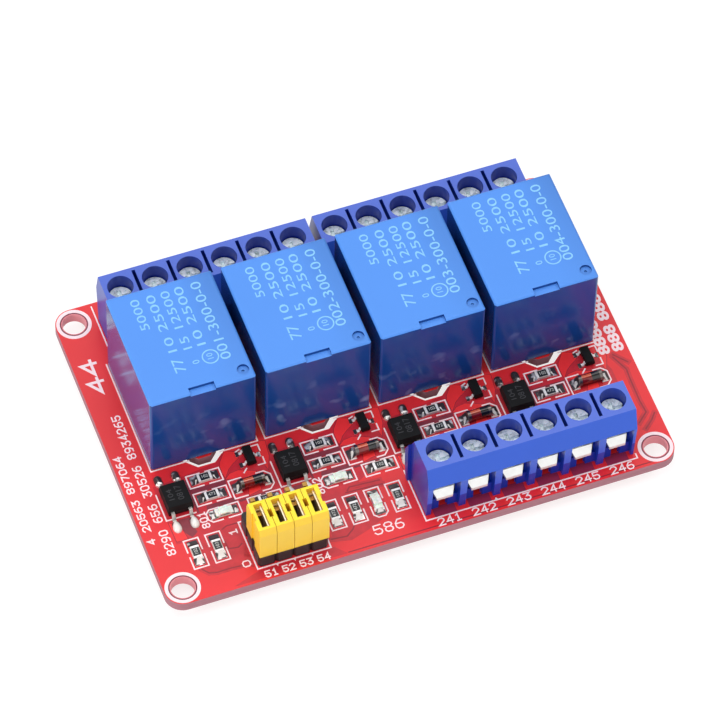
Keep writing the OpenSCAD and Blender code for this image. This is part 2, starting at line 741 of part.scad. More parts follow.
// Cones of solder on the underside, round every lead that passes through the board
module lead_solder() {
    translate([0, 0, tail_len]) {
        each_relay() for (p = relay_pin_spots) translate(p) difference() {
            solder_cone(relay_pin_bore / 2 + 0.5, relay_pin_bore / 2, solder_h);
            translate([0, 0, -solder_h - eps]) standing_box([relay_pin_w, relay_pin_t, solder_h + 2 * eps]);
        }
        for (b = block_places, x = pole_xs)
            translate([b.x, b.y]) rotate(b.z) translate([x, leg_y + strip_t / 2]) difference() {
                solder_cone(block_pin_bore / 2 + 0.5, block_pin_bore / 2, solder_h);
                translate([0, 0, -solder_h - eps]) standing_box([leg_w, strip_t, solder_h + 2 * eps]);
            }
        for (x = column_xs, y = row_ys) translate([x, y]) difference() {
            solder_cone(header_pin_bore / 2 + 0.35, header_pin_bore / 2, solder_h);
            translate([0, 0, -solder_h - eps]) standing_box([pin_side, pin_side, solder_h + 2 * eps]);
        }
    }
}

// ---------------------------------------------------------------- nodes

circuit_board();
for (i = [1 : channels]) {
    relay_case(i);
    relay_base(i);
    relay_pins(i);
    optocoupler(i);
    optocoupler_leads(i);
    transistor(i);
    diode_glass(i);
    channel_led(i);
    jumper_cap(i);
    jumper_contact(i);
}
for (b = [0 : len(blocks) - 1]) {
    block_housing(b);
    block_screws(b);
    block_clamps(b);
    block_contacts(b);
}
header_strip();
header_pins();
transistor_leads();
power_led();
resistors();
resistor_caps();
surface_solder();
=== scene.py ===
"""Dresses a four-channel relay board: board print, copper, solder, plastics and metals.

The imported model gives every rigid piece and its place. This script gives those pieces their
finishes, and adds what is too thin for solids: the ink on the board and the relays, the masked
copper, the linings of the holes, the chips' glaze and codes, and the flow of the solder.
Lengths are in millimetres until a mesh is finished, and in metres from there on.
"""
from __future__ import annotations

import json
import logging
import math
from dataclasses import dataclass
from enum import Enum

import bmesh
import bpy
from mathutils import Matrix, Vector

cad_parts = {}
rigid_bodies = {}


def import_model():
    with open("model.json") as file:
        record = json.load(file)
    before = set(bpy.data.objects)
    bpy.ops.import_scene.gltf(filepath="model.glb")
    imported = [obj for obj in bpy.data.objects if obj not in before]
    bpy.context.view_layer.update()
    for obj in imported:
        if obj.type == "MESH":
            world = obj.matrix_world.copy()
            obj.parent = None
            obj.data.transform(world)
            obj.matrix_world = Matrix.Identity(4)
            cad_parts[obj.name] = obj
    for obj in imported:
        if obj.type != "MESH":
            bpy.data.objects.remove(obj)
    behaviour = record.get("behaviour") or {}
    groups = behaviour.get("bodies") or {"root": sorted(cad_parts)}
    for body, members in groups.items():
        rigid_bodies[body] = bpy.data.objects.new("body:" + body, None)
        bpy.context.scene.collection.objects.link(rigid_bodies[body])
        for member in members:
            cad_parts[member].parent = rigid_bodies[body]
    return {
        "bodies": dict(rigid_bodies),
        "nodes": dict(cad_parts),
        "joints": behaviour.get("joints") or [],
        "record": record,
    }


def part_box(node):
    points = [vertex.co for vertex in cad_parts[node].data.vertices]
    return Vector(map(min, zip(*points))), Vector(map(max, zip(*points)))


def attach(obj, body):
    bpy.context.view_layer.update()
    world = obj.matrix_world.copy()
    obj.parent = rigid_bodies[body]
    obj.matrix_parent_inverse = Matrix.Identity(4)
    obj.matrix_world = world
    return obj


log = logging.getLogger("relay_board")

MM = 0.001
CHANNELS = (1, 2, 3, 4)

Colour = tuple[float, float, float]
Point = tuple[float, float]
Place = tuple[float, float, float]
Socket = bpy.types.NodeSocket
Value = Socket | float
Tint = Socket | Colour
Outputs = bpy.types.NodeOutputs
Material = bpy.types.Material
Palette = dict[str, Material]

# The digits of the board's plotted print, as lines in a box a hundred units high and wide.
GLYPHS: dict[str, tuple[str, ...]] = {
    "0": ("25,0 75,0 100,20 100,80 75,100 25,100 0,80 0,20 25,0",),
    "1": ("20,80 50,100 50,0", "20,0 80,0"),
    "2": ("0,80 25,100 75,100 100,80 100,60 0,0 100,0",),
    "3": ("0,100 100,100 45,60 75,60 100,40 100,20 75,0 25,0 0,20",),
    "4": ("75,0 75,100 0,30 100,30",),
    "5": ("100,100 5,100 0,55 75,60 100,40 100,20 75,0 25,0 0,20",),
    "6": ("90,100 40,100 0,60 0,20 25,0 75,0 100,20 100,40 75,58 5,55",),
    "7": ("0,100 100,100 40,0",),
    "8": ("25,53 0,70 0,85 25,100 75,100 100,85 100,70 75,53 25,53 0,35 0,17 25,0 75,0 100,17 100,35 "
          "75,53",),
    "9": ("10,0 60,0 100,40 100,80 75,100 25,100 0,80 0,60 25,42 95,45",),
}
# Copper cleared away from each channel, from the relay's middle and front edge.
CHANNEL_TROUGHS: tuple[str, ...] = (
    "-9,-2.6 -9,-12.6 -2.2,-12.6 1.6,-11.4 5.4,-9.2 9,-9 9,-5.2 7.4,-2.2 4.6,-0.5 2.4,-0.4 1,-1.6 "
    "-2.6,-2.1 -5.2,-2.4",
)
# Small pours that lie inside those clearings.
CHANNEL_POURS: tuple[str, ...] = (
    "2.87,-0.19 1.7,-1.77 1.47,-2.43 1.45,-3.66 1.58,-4.45 2.41,-3.26 3.4,-2.49 4.31,-1.95 4.48,-0.88",
    "2.36,-3.99 1.5,-4.67 4.14,-5.36 5.74,-5.19 5.99,-4.78 3.65,-3.82",
    "3.71,-8.3 5.61,-7.86 5.73,-6.67 4.2,-6.62",
    "7.51,-1.08 7.27,-3.49 7.63,-5.11 8.46,-3.04 8.78,-0.41 7.96,-0.12",
    "-8.3,-8.9 -8.2,-12.2 -6.6,-12.2 -6.9,-10",
)
# Painted shade laid over those clearings, between and beside the pads.
CHANNEL_SHADES: tuple[str, ...] = (
    "-3.6,-5.6 1.3,-5.5 1.5,-4.7 -3.7,-4.7",
    "-9,-8.8 -8.5,-8.6 -8.5,-3.6 -9,-4.2",
    "-4.2,-3 -3.7,-3 -3.65,-8.7 -3.9,-8.7",
    "-6.9,-8.9 -5.3,-8.9 -5,-11.6 -5.9,-12.2 -6.8,-11",
    "-2.6,-8.6 1.9,-8.6 1.6,-7.9 -2.4,-7.9",
    "2.2,-8.9 6,-8.8 7.6,-8.3 5.8,-8.45 2,-8.5",
)
# Cleared patches and lines elsewhere on the board; the second patch is a darker band near the board's front
# edge.
BOARD_PATCHES: tuple[str, ...] = (
    "-32.67,-14.11 -31.91,-16.12 -31.73,-19.07 -30.94,-21.66 -28.76,-23.01 -25.35,-22.93 -24.4,-23.5 "
    "-24.23,-15.65 -25.59,-14 -28.89,-13.7",
    "-27.9,-25.5 -27.4,-25.6 -11.6,-25.6 -13,-24 -23.9,-24.2",
    "-12.61,-21.23 -12.76,-23.26 -10.32,-23.78 -7.68,-22.98 -4.93,-21.86 -5.52,-17.09 -7.2,-15.26 "
    "-8.53,-15.67 -10.98,-15.15",
    "-26.93,-20.92 -24.34,-21.84 -24.25,-19.48 -24.92,-19.94 -26.63,-19.83",
)
BOARD_GAPS: tuple[str, ...] = (
    "-31.27,-21.46 -30.57,-22.3 -29.51,-22.58 -27.67,-22.54 -25.88,-22.68",
    "-26.51,-16.18 -25.8,-15.83 -24.31,-15.86",
    "-26.83,-18.26 -26.76,-19.48 -25.4,-19.67 -24.77,-19.29",
    "-12.95,-22.73 -10.71,-22.97 -9.57,-22.15 -8.15,-20.32",
    "-8.14,-15.95 -7.68,-15.44 -3.37,-15.73",
    "-8.42,-16.19 -5.92,-16.29 -3.17,-16.48",
    "34.78,-7.26 35.8,-9.73 35.67,-11.63 35.56,-15.33 35.7,-17.47 34.15,-18.85",
    "34.94,-6.86 36.45,-8.65",
    "36.74,-17.98 36,-18.91 34.66,-20.07",
)
# The layers of the mask, by finish: each one's name and its share of the film's thickness.
MASK_LAYERS: dict[str, tuple[str, float]] = {
    "gap": ("mask_gaps", 0.6), "seam": ("mask_seams", 0.9), "deep": ("mask_painted_shades", 0.75),
    "copper": ("mask_pours", 1.3),
}
# What each node is made of; a pair of braces stands for the channel.
DRESS: dict[str, tuple[str, ...]] = {
    "board": ("circuit_board",),
    "relay": ("relay_{}_case",),
    "relay_base": ("relay_{}_base",),
    "lead": ("relay_{}_pins", "optocoupler_leads_{}"),
    "strip": ("header_strip",),
    "gold": ("header_pins",),
    "cap": ("jumper_cap_{}",),
    "brass": ("jumper_contact_{}",),
    "solder": ("surface_solder",),
    "tin": ("resistor_caps", "transistor_leads"),
    "alumina": ("resistors",),
    "lens": ("power_led", "channel_led_{}"),
    "epoxy": ("optocoupler_{}", "transistor_{}"),
}
# The lines printed round each part: sides of its box (x and y are its middle) and distances from them.
BRACKET = "x+0.45 y+1.05 x+2.4 y+1.05 x+2.4 y-1.05 x+0.45 y-1.05"
CUT_BRACKET = "x-0.45 y+1.05 x-1.85 y+1.05 x-2.4 y+0.5 x-2.4 y-0.5 x-1.85 y-1.05 x-0.45 y-1.05"
PRINT_ROUTES: dict[str, tuple[str, ...]] = {
    "relay_{}_case": ("x-2.3 s-0.08 w-0.12 s-0.08 w-0.12 n+0.12",
                      "x+2.3 s-0.08 e+0.12 s-0.08 e+0.12 n+0.12"),
    "resistors": ("x-0.45 y+1.05 x-2.4 y+1.05 x-2.4 y-1.05 x-0.45 y-1.05", BRACKET),
    "channel_led_{}": (BRACKET, CUT_BRACKET),
    "power_led": (BRACKET, CUT_BRACKET),
    "optocoupler_{}": ("w-0.42 n-0.1 w-0.42 s-0.42 e+0.1 s-0.42",),
    "diode_glass_{}": ("w+0.6 y+1.55 w-1.25 y+1.55 w-1.25 y-1.55 w+0.6 y-1.55",
                       "e-0.65 y+1.55 e+0.45 y+1.55 e+1.2 y+0.8 e+1.2 y-0.8 e+0.45 y-1.55 e-0.65 y-1.55"),
    "transistor_{}": ("e+0.15 s-0.2 e+1.15 s-0.2 e+1.15 y-0.6", "e+0.15 n+0.2 e+1.15 n+0.2 e+1.15 y+0.6",
                      "w-0.25 s-0.2 w-0.8 s-0.75", "w-0.25 n+0.2 w-0.8 n+0"),
    "header_strip": ("w-0.25 s-0.25 e+0.25 s-0.25 e+0.25 n+0.25 w-0.25 n+0.25 w-0.25 s-0.25",),
}
# The screw terminals, and what each of their nodes is made of.
BLOCKS = ("input_terminal", "output_terminal_left", "output_terminal_right")
BLOCK_DRESS = {"nylon": "housing", "screw": "screws", "clamp": "clamps", "tongue": "contacts"}


def srgb(red: int, green: int, blue: int) -> Colour:
    """Turns a display colour into linear light.

    Args:
        red, green, blue: its values, from 0 to 255.

    Returns:
        The colour in linear light.
    """
    def linear(value: float) -> float:
        """Undoes the display curve for one channel."""
        return value / 12.92 if value <= 0.04045 else ((value + 0.055) / 1.055) ** 2.4

    return (linear(red / 255), linear(green / 255), linear(blue / 255))


def points(text: str, scale: float = 1.0) -> list[Point]:
    """Reads points that are written as X,Y with spaces between."""
    return [tuple(float(value) * scale for value in pair.split(",")) for pair in text.split()]


def channel_names(pattern: str) -> list[str]:
    """Returns the name that a pattern gives in each channel; braces stand for its number."""
    return list(dict.fromkeys(pattern.format(i) for i in CHANNELS))


def link(name: str, data: bpy.types.ID) -> bpy.types.Object:
    """Puts a new object in the scene.

    Args:
        name: the object's name.
        data: its mesh, lamp or camera.

    Returns:
        The object.
    """
    made = bpy.data.objects.new(name, data)
    bpy.context.scene.collection.objects.link(made)
    return made


def lay(name: str, mesh: bmesh.types.BMesh, material: Material) -> None:
    """Turns a mesh in millimetres into a piece that rides on the board.

    Args:
        name: the piece's name.
        mesh: its mesh, which is freed.
        material: what it is made of.
    """
    bmesh.ops.recalc_face_normals(mesh, faces=mesh.faces)
    data = bpy.data.meshes.new(name)
    mesh.to_mesh(data)
    mesh.free()
    data.transform(Matrix.Scale(MM, 4))
    data.materials.append(material)
    piece = link(name, data)
    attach(piece, "root")
    log.info("piece %s: %d faces", name, len(data.polygons))


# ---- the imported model

@dataclass(frozen=True)
class Box:
    """An axis-aligned box, in millimetres."""

    low: Vector
    high: Vector

    @property
    def centre(self) -> Vector:
        """The middle of the box."""
        return (self.low + self.high) / 2

    @property
    def size(self) -> Vector:
        """The box's length, width and height."""
        return self.high - self.low

    @property
    def lengthwise(self) -> bool:
        """Whether the box is longer along X than along Y."""
        return self.size.x > self.size.y


@dataclass
class Model:
    """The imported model: its nodes, its record and the boxes of its solids."""

    frame: dict

    def node(self, name: str) -> bpy.types.Object:
        """Returns a node's object."""
        return self.frame["nodes"][name]

    def box(self, name: str) -> Box:
        """Returns a node's box, in millimetres."""
        low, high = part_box(name)
        return Box(low / MM, high / MM)

    def boxes(self, pattern: str) -> list[Box]:
        """Returns the box of one node in each channel."""
        return [self.box(name) for name in channel_names(pattern)]

    def solids(self, name: str) -> list[Box]:
        """Finds the separate solids of a node.

        Args:
            name: the node.

        Returns:
            One box for each solid, from left to right and then from front to back.
        """
        mesh = self.node(name).data
        parent = list(range(len(mesh.vertices)))

        def root(index: int) -> int:
            """Follows a vertex to the first one of its solid.

            Args:
                index: the vertex.

            Returns:
                The first vertex of the same solid.
            """
            while parent[index] != index:
                parent[index] = parent[parent[index]]
                index = parent[index]
            return index

        places: dict[tuple[int, ...], int] = {}
        for vertex in mesh.vertices:
            key = tuple(round(value / MM * 1000) for value in vertex.co)
            first = places.setdefault(key, vertex.index)
            parent[root(vertex.index)] = root(first)
        for edge in mesh.edges:
            parent[root(edge.vertices[0])] = root(edge.vertices[1])
        groups: dict[int, list[Vector]] = {}
        for vertex in mesh.vertices:
            groups.setdefault(root(vertex.index), []).append(vertex.co / MM)
        boxes = [Box(Vector(map(min, zip(*group))), Vector(map(max, zip(*group))))
                 for group in groups.values()]
        return sorted(boxes, key=lambda b: (round(b.centre.x, 1), round(b.centre.y, 1)))


# ---- shader building

class Effect(Enum):
    """Effects that several materials share, each one node group."""

    TONE = "tone_drift"
    GRAIN = "surface_grain"
    RIPPLE = "metal_ripple"
    FACING = "upward_mask"


class NodeSheet:
    """Adds and joins nodes in one node tree."""

    def __init__(self, tree: bpy.types.NodeTree) -> None:
        """Starts on an emptied tree."""
        self.tree = tree
        tree.nodes.clear()

    def join(self, node: bpy.types.Node, values: dict) -> bpy.types.Node:
        """Sets a node's inputs.

        Args:
            node: the node.
            values: its inputs by name or number, each a plain value or a socket to join.

        Returns:
            The same node.
        """
        for key, value in values.items():
            socket = node.inputs[key]
            if isinstance(value, Socket):
                self.tree.links.new(value, socket)
            else:
                socket.default_value = (*value, 1.0) if socket.type == "RGBA" else value
        return node

    def add(self, kind: str, values: dict | None = None, **attributes) -> bpy.types.Node:
        """Adds a node.

        Args:
            kind: the node's type name, without the ShaderNode prefix.
            values: its inputs, as join takes them.
            attributes: the node's own settings.

        Returns:
            The new node.
        """
        node = self.tree.nodes.new(("" if kind.startswith("Node") else "ShaderNode") + kind)
        for key, value in attributes.items():
            setattr(node, key, value)
        return self.join(node, values or {})

    def effect(self, effect: Effect, **values) -> Outputs:
        """Places a shared effect with its own values, and returns its outputs."""
        group = bpy.data.node_groups[effect.value]
        return self.add("Group", values, node_tree=group).outputs

    def math(self, operation: str, first: Value, second: Value = 0.0, clamp: bool = False) -> Socket:
        """Works out one or two values."""
        return self.add("Math", {0: first, 1: second}, operation=operation, use_clamp=clamp).outputs[0]

    def times(self, first: Value, *others: Value) -> Socket:
        """Multiplies values with each other.

        Args:
            first: a value.
            others: the values to multiply it with, in turn.

        Returns:
            The product.
        """
        for other in others:
            first = self.math("MULTIPLY", first, other)
        return first

    def span(self, share: Value, start: float, end: float) -> Socket:
        """Runs from one number to another as a share goes from 0 to 1."""
        return self.math("ADD", self.times(share, end - start), start)

    def remap(self, value: Value, low: float, high: float, start: float = 0.0, end: float = 1.0,
              smooth: bool = False) -> Socket:
        """Runs from one number to another as a value crosses a range, and stays there outside.

        Args:
            value: the value.
            low, high: the ends of its range, in either order.
            start, end: what comes out at low and at high.
            smooth: whether the run eases in and out.

        Returns:
            The number.
        """
        kind = "SMOOTHSTEP" if smooth else "LINEAR"
        values = {0: value, 1: low, 2: high, 3: start, 4: end}
        return self.add("MapRange", values, interpolation_type=kind).outputs[0]

    def mix(self, factor: Value, first: Tint, second: Tint) -> Socket:
        """Mixes two colours."""
        return self.add("Mix", {0: factor, 6: first, 7: second}, data_type="RGBA").outputs[2]

    def coords(self, space: str) -> Socket:
        """Returns the place of each point in one space."""
        return self.add("TexCoord").outputs[space]

    def parts(self, vector: Socket) -> Outputs:
        """Splits a vector into X, Y and Z."""
        return self.add("SeparateXYZ", {0: vector}).outputs

    def normal(self) -> Outputs:
        """Returns the parts of the surface's normal."""
        return self.parts(self.add("NewGeometry").outputs["Normal"])

    def noise(self, scale: Value, **values: Value) -> Socket:
        """Adds a noise in the object's own space."""
        values = {"Vector": self.coords("Object"), "Scale": scale, **values}
        return self.add("TexNoise", values).outputs["Fac"]

    def tone(self, colour: Tint, amount: float, scale: float) -> Socket:
        """Lets a colour's brightness drift."""
        return self.effect(Effect.TONE, Colour=colour, Amount=amount, Scale=scale)["Colour"]

    def bump(self, height: Socket, strength: float, depth: float) -> Socket:
        """Turns a height from 0 to 1 into a normal; its depth is in millimetres."""
        values = {"Strength": strength, "Distance": depth * MM, "Height": height}
        return self.add("Bump", values).outputs["Normal"]

    def grain(self, scale: float, strength: float, depth: float = 0.02) -> Socket:
        """Adds a fine grain, as a normal."""
        return self.bump(self.effect(Effect.GRAIN, Scale=scale)["Height"], strength, depth)


class EffectLibrary:
    """Builds the node groups that the materials share."""

    def build(self) -> None:
        """Builds every group once."""
        self._tone()
        self._grain()
        self._ripple()
        self._facing()

    def _open(self, effect: Effect, inputs: tuple[str, ...], outputs: tuple[str, ...],
              ) -> tuple[NodeSheet, Outputs, bpy.types.Node]:
        """Opens a new group with its sockets.

        Args:
            effect: which group.
            inputs, outputs: the names of its sockets.

        Returns:
            The sheet to build on, the values that the group is given, and its output node.
        """
        group = bpy.data.node_groups.new(effect.value, "ShaderNodeTree")
        for way, names in (("INPUT", inputs), ("OUTPUT", outputs)):
            for name in names:
                kind = "NodeSocketColor" if name == "Colour" else "NodeSocketFloat"
                group.interface.new_socket(name=name, in_out=way, socket_type=kind)
        sheet = NodeSheet(group)
        return sheet, sheet.add("NodeGroupInput").outputs, sheet.add("NodeGroupOutput")

    def _tone(self) -> None:
        """A slow drift of a colour's brightness, as moulded and coated parts have."""
        sheet, given, sink = self._open(Effect.TONE, ("Colour", "Amount", "Scale"), ("Colour",))
        noise = sheet.noise(given["Scale"], Detail=4.0, Roughness=0.55)
        swing = sheet.times(sheet.math("SUBTRACT", noise, 0.5), given["Amount"], 2.0)
        level = sheet.math("ADD", swing, 1.0)
        toned = sheet.add("HueSaturation", {"Color": given["Colour"], "Value": level})
        sheet.join(sink, {"Colour": toned.outputs["Color"]})

    def _grain(self) -> None:
        """The fine grain of a moulded or coated surface, as a height."""
        sheet, given, sink = self._open(Effect.GRAIN, ("Scale",), ("Height",))
        sheet.join(sink, {"Height": sheet.noise(given["Scale"], Detail=3.0, Roughness=0.6)})

    def _ripple(self) -> None:
        """The uneven skin of solder and stamped metal: a height and a dull-patch mask."""
        sheet, given, sink = self._open(Effect.RIPPLE, ("Scale",), ("Height", "Dull"))
        lumps = sheet.noise(given["Scale"], Detail=2.0, Distortion=0.6)
        values = {"Vector": sheet.coords("Object"), "Scale": sheet.times(given["Scale"], 2.3)}
        cells = sheet.add("TexVoronoi", values).outputs["Distance"]
        height = sheet.math("ADD", lumps, sheet.times(cells, 0.35))
        sheet.join(sink, {"Height": height, "Dull": sheet.math("SMOOTH_MIN", lumps, cells)})

    def _facing(self) -> None:
        """Masks of the faces that look up or down, and of those that look up."""
        sheet, given, sink = self._open(Effect.FACING, ("Threshold",), ("Level", "Up"))
        height = sheet.normal()["Z"]
        level = sheet.math("GREATER_THAN", sheet.math("ABSOLUTE", height), given["Threshold"])
        sheet.join(sink, {"Level": level, "Up": sheet.math("GREATER_THAN", height, given["Threshold"])})


# ---- finishes

@dataclass(frozen=True)
class Finish:
    """What every finish has: a name, a colour and a gloss."""

    name: str
    colour: Colour
    roughness: float = 0.4

    def build(self) -> Material:
        """Makes the material.

        Returns:
            The new material.
        """
        material = bpy.data.materials.new(self.name)
        material.use_nodes = True
        material.diffuse_color = (*self.colour, 1.0)
        sheet = NodeSheet(material.node_tree)
        shader = sheet.add("BsdfPrincipled", {"Base Color": self.colour, "Roughness": self.roughness})
        sheet.add("OutputMaterial", {"Surface": shader.outputs["BSDF"]})
        sheet.join(shader, self.surface(sheet))
        return material

    def surface(self, sheet: NodeSheet) -> dict:
        """Builds what this finish has of its own, and returns the shader's inputs."""
        return {}


@dataclass(frozen=True)
class Moulding(Finish):
    """A moulded plastic: a drifting tone, a fine grain and a soft gloss."""

    drift: float = 0.05
    drift_scale: float = 150.0
    grain: float = 0.15
    grain_scale: float = 3500.0
    coat: float = 0.0
    scatter: float = 0.0
    specular: float = 0.5
    # A colour for the faces that don't look up: painted shade.
    side: Colour | None = None

    def surface(self, sheet: NodeSheet) -> dict:
        """Adds the tone, a painted shade colour on the faces that don't look up, the grain, the coat and the
        light that sinks in.

        Args:
            sheet: the material's sheet.

        Returns:
            The shader's inputs.
        """
        colour = self.colour
        if self.side:
            colour = sheet.mix(sheet.effect(Effect.FACING, Threshold=0.5)["Up"], self.side, colour)
        values = {"Base Color": sheet.tone(colour, self.drift, self.drift_scale),
                  "Normal": sheet.grain(self.grain_scale, self.grain), "Specular IOR Level": self.specular,
                  "Coat Weight": self.coat, "Coat Roughness": 0.12}
        if self.scatter:
            values |= {"Subsurface Weight": self.scatter, "Subsurface Radius": (1.0, 1.0, 1.0),
                       "Subsurface Scale": 0.4 * MM}
        return values


@dataclass(frozen=True)
class RelayShell(Finish):
    """Tinted clear plastic, frosted on top and glossy on the sides; the pale top and the darker sides are
    partly the plastic's own look and partly painted light and painted shade.
    """

    # The first colour here is for the upright faces, partly the plastic's own and partly painted shade; the
    # pale colour is painted reflection, and the factor darkens the top's right as painted shade.
    side: Colour = (0.0, 0.0, 0.0)
    side_roughness: float = 0.17
    painted_reflection_fleck: Colour = (0.3, 0.4, 0.7)
    painted_corner_shade: float = 0.76

    def surface(self, sheet: NodeSheet) -> dict:
        """Parts the frosted top from the sides, paints shade on the right of the top, most at the back, and
        paints pale reflection specks low on the front.

        Args:
            sheet: the material's sheet.

        Returns:
            The shader's inputs.
        """
        facing = sheet.effect(Effect.FACING, Threshold=0.35)
        place = sheet.parts(sheet.coords("Generated"))
        # Painted shade: the top darkens towards its right, most at the back.
        right = sheet.remap(place["X"], low=0.6, high=1.0, smooth=True)
        shade = sheet.times(right, sheet.span(place["Y"], start=0.3, end=1.0))
        lid = sheet.mix(shade, self.colour, tuple(value * self.painted_corner_shade for value in self.colour))
        # The upright faces take the side colour: partly the plastic's own, partly painted shade.
        shell = sheet.mix(facing["Up"], self.side, lid)
        # Painted reflections: pale specks low on the front face.
        painted_specks = sheet.remap(sheet.noise(330.0, Detail=1.5), low=0.62, high=0.74, end=0.55)
        lower = sheet.remap(place["Z"], low=0.75, high=0.1)
        upright = sheet.math("SUBTRACT", 1.0, facing["Level"])
        amount = sheet.times(painted_specks, lower, upright, sheet.math("LESS_THAN", place["Y"], 0.03))
        return {"Base Color": sheet.tone(sheet.mix(amount, shell, self.painted_reflection_fleck), 0.03, 60.0),
                "Roughness": sheet.span(facing["Up"], self.side_roughness, self.roughness),
                "Specular IOR Level": 0.42, "Normal": sheet.grain(2600.0, 0.05, 0.01)}


@dataclass(frozen=True)
class BlockNylon(Finish):
    """Glossy terminal nylon, with painted light that makes its top paler and painted shade that darkens its
    wells, mouths and other upright faces away from the front, most low down.
    """

    # The first colour here is painted light on the top faces, and the second is painted shade.
    lid: Colour = (0.0, 0.0, 0.0)
    deep: Colour = (0.0, 0.0, 0.0)

    def surface(self, sheet: NodeSheet) -> dict:
        """Parts the top, the sloped and outer faces and the recesses, and paints light on the top and shade
        on the recesses.

        Args:
            sheet: the material's sheet.

        Returns:
            The shader's inputs.
        """
        place = sheet.parts(sheet.coords("Generated"))
        level = sheet.effect(Effect.FACING, Threshold=0.95)["Up"]
        sloped = sheet.effect(Effect.FACING, Threshold=0.06)["Up"]
        # Painted shade: faces away from the front and the slopes take mostly the shade colour, most of all
        # low down.
        painted_recess_shade = sheet.remap(place["Z"], low=0.65, high=1.1, start=0.15, end=0.3)
        outer = sheet.math("LESS_THAN", place["Y"], 0.04)
        slope = sheet.times(sloped, sheet.math("GREATER_THAN", place["Z"], 0.3))
        shade = sheet.math("MAXIMUM", sheet.math("MAXIMUM", outer, slope), painted_recess_shade)
        body = sheet.mix(shade, self.deep, sheet.tone(self.colour, 0.04, 150.0))
        # Painted light: the level top faces take the paler top colour.
        crown = sheet.times(level, sheet.math("GREATER_THAN", place["Z"], 0.95))
        return {"Base Color": sheet.mix(crown, body, self.lid), "Specular IOR Level": 0.28,
                "Normal": sheet.grain(3500.0, 0.1)}


@dataclass(frozen=True)
class MaskedBoard(Finish):
    """Solder mask on both faces, and bare glass laminate on every cut edge."""

    laminate: Colour = (0.0, 0.0, 0.0)
    laminate_roughness: float = 0.75

    def surface(self, sheet: NodeSheet) -> dict:
        """Parts the coated faces from the cut edges.

        Args:
            sheet: the material's sheet.

        Returns:
            The shader's inputs.
        """
        level = sheet.effect(Effect.FACING, Threshold=0.7)["Level"]
        stretch = sheet.add("Mapping", {"Vector": sheet.coords("Object"), "Scale": (120.0, 120.0, 5200.0)})
        plies = sheet.noise(1.0, Vector=stretch.outputs["Vector"], Detail=3.0)
        pale = tuple(min(1.0, value * 1.5 + 0.03) for value in self.laminate)
        edge = sheet.mix(plies, self.laminate, pale)
        return {"Base Color": sheet.mix(level, edge, sheet.tone(self.colour, 0.1, 90.0)),
                "Roughness": sheet.span(level, self.laminate_roughness, self.roughness),
                "Coat Weight": sheet.times(level, 0.15), "Coat Roughness": 0.12,
                "Normal": sheet.grain(1600.0, 0.1)}


@dataclass(frozen=True)
class Ink(Finish):
    """Screen-printed ink with slightly patchy cover."""

    wear: float = 0.12

    def surface(self, sheet: NodeSheet) -> dict:
        """Adds the uneven cover of the print.

        Args:
            sheet: the material's sheet.

        Returns:
            The shader's inputs.
        """
        return {"Base Color": sheet.tone(self.colour, self.wear, 1400.0),
                "Normal": sheet.grain(6000.0, 0.2, 0.01)}


@dataclass(frozen=True)
class Metal(Finish):
    """Plated or soldered metal, with lumps and dull patches."""

    ripple: float = 0.3
    ripple_scale: float = 900.0
    depth: float = 0.05
    patches: float = 0.25
    metal: float = 1.0
    mottle: float = 0.12

    def surface(self, sheet: NodeSheet) -> dict:
        """Adds the uneven skin.

        Args:
            sheet: the material's sheet.

        Returns:
            The shader's inputs.
        """
        skin = sheet.effect(Effect.RIPPLE, Scale=self.ripple_scale)
        dull = sheet.times(skin["Dull"], self.patches)
        return {"Base Color": sheet.tone(self.colour, self.mottle, self.ripple_scale),
                "Roughness": sheet.math("ADD", dull, self.roughness, clamp=True), "Metallic": self.metal,
                "Normal": sheet.bump(skin["Height"], self.ripple, self.depth)}


@dataclass(frozen=True)
class Solder(Metal):
    """Reflowed solder with painted light: a painted shade tone where it is level, and painted highlights in
    specks and where it slopes to the front.
    """

    # This tone is painted shade; the finish's own colour is the painted highlight.
    painted_shade_tone: Colour = (0.05, 0.05, 0.05)

    def surface(self, sheet: NodeSheet) -> dict:
        """Adds the skin, and mixes the painted highlight and painted shade tones by slope and specks.

        Args:
            sheet: the material's sheet.

        Returns:
            The shader's inputs.
        """
        # Painted highlights: specks, and faces that slope to the front, take the bright tone.
        painted_specks = sheet.noise(self.ripple_scale * 0.7, Detail=1.0)
        swing = sheet.times(sheet.math("SUBTRACT", painted_specks, 0.5), 2.6)
        lean = sheet.times(sheet.normal()["Y"], -1.0)
        bright = sheet.remap(sheet.math("ADD", lean, swing), low=0.16, high=0.42)
        return {**super().surface(sheet), "Base Color": sheet.mix(bright, self.painted_shade_tone, self.colour)}


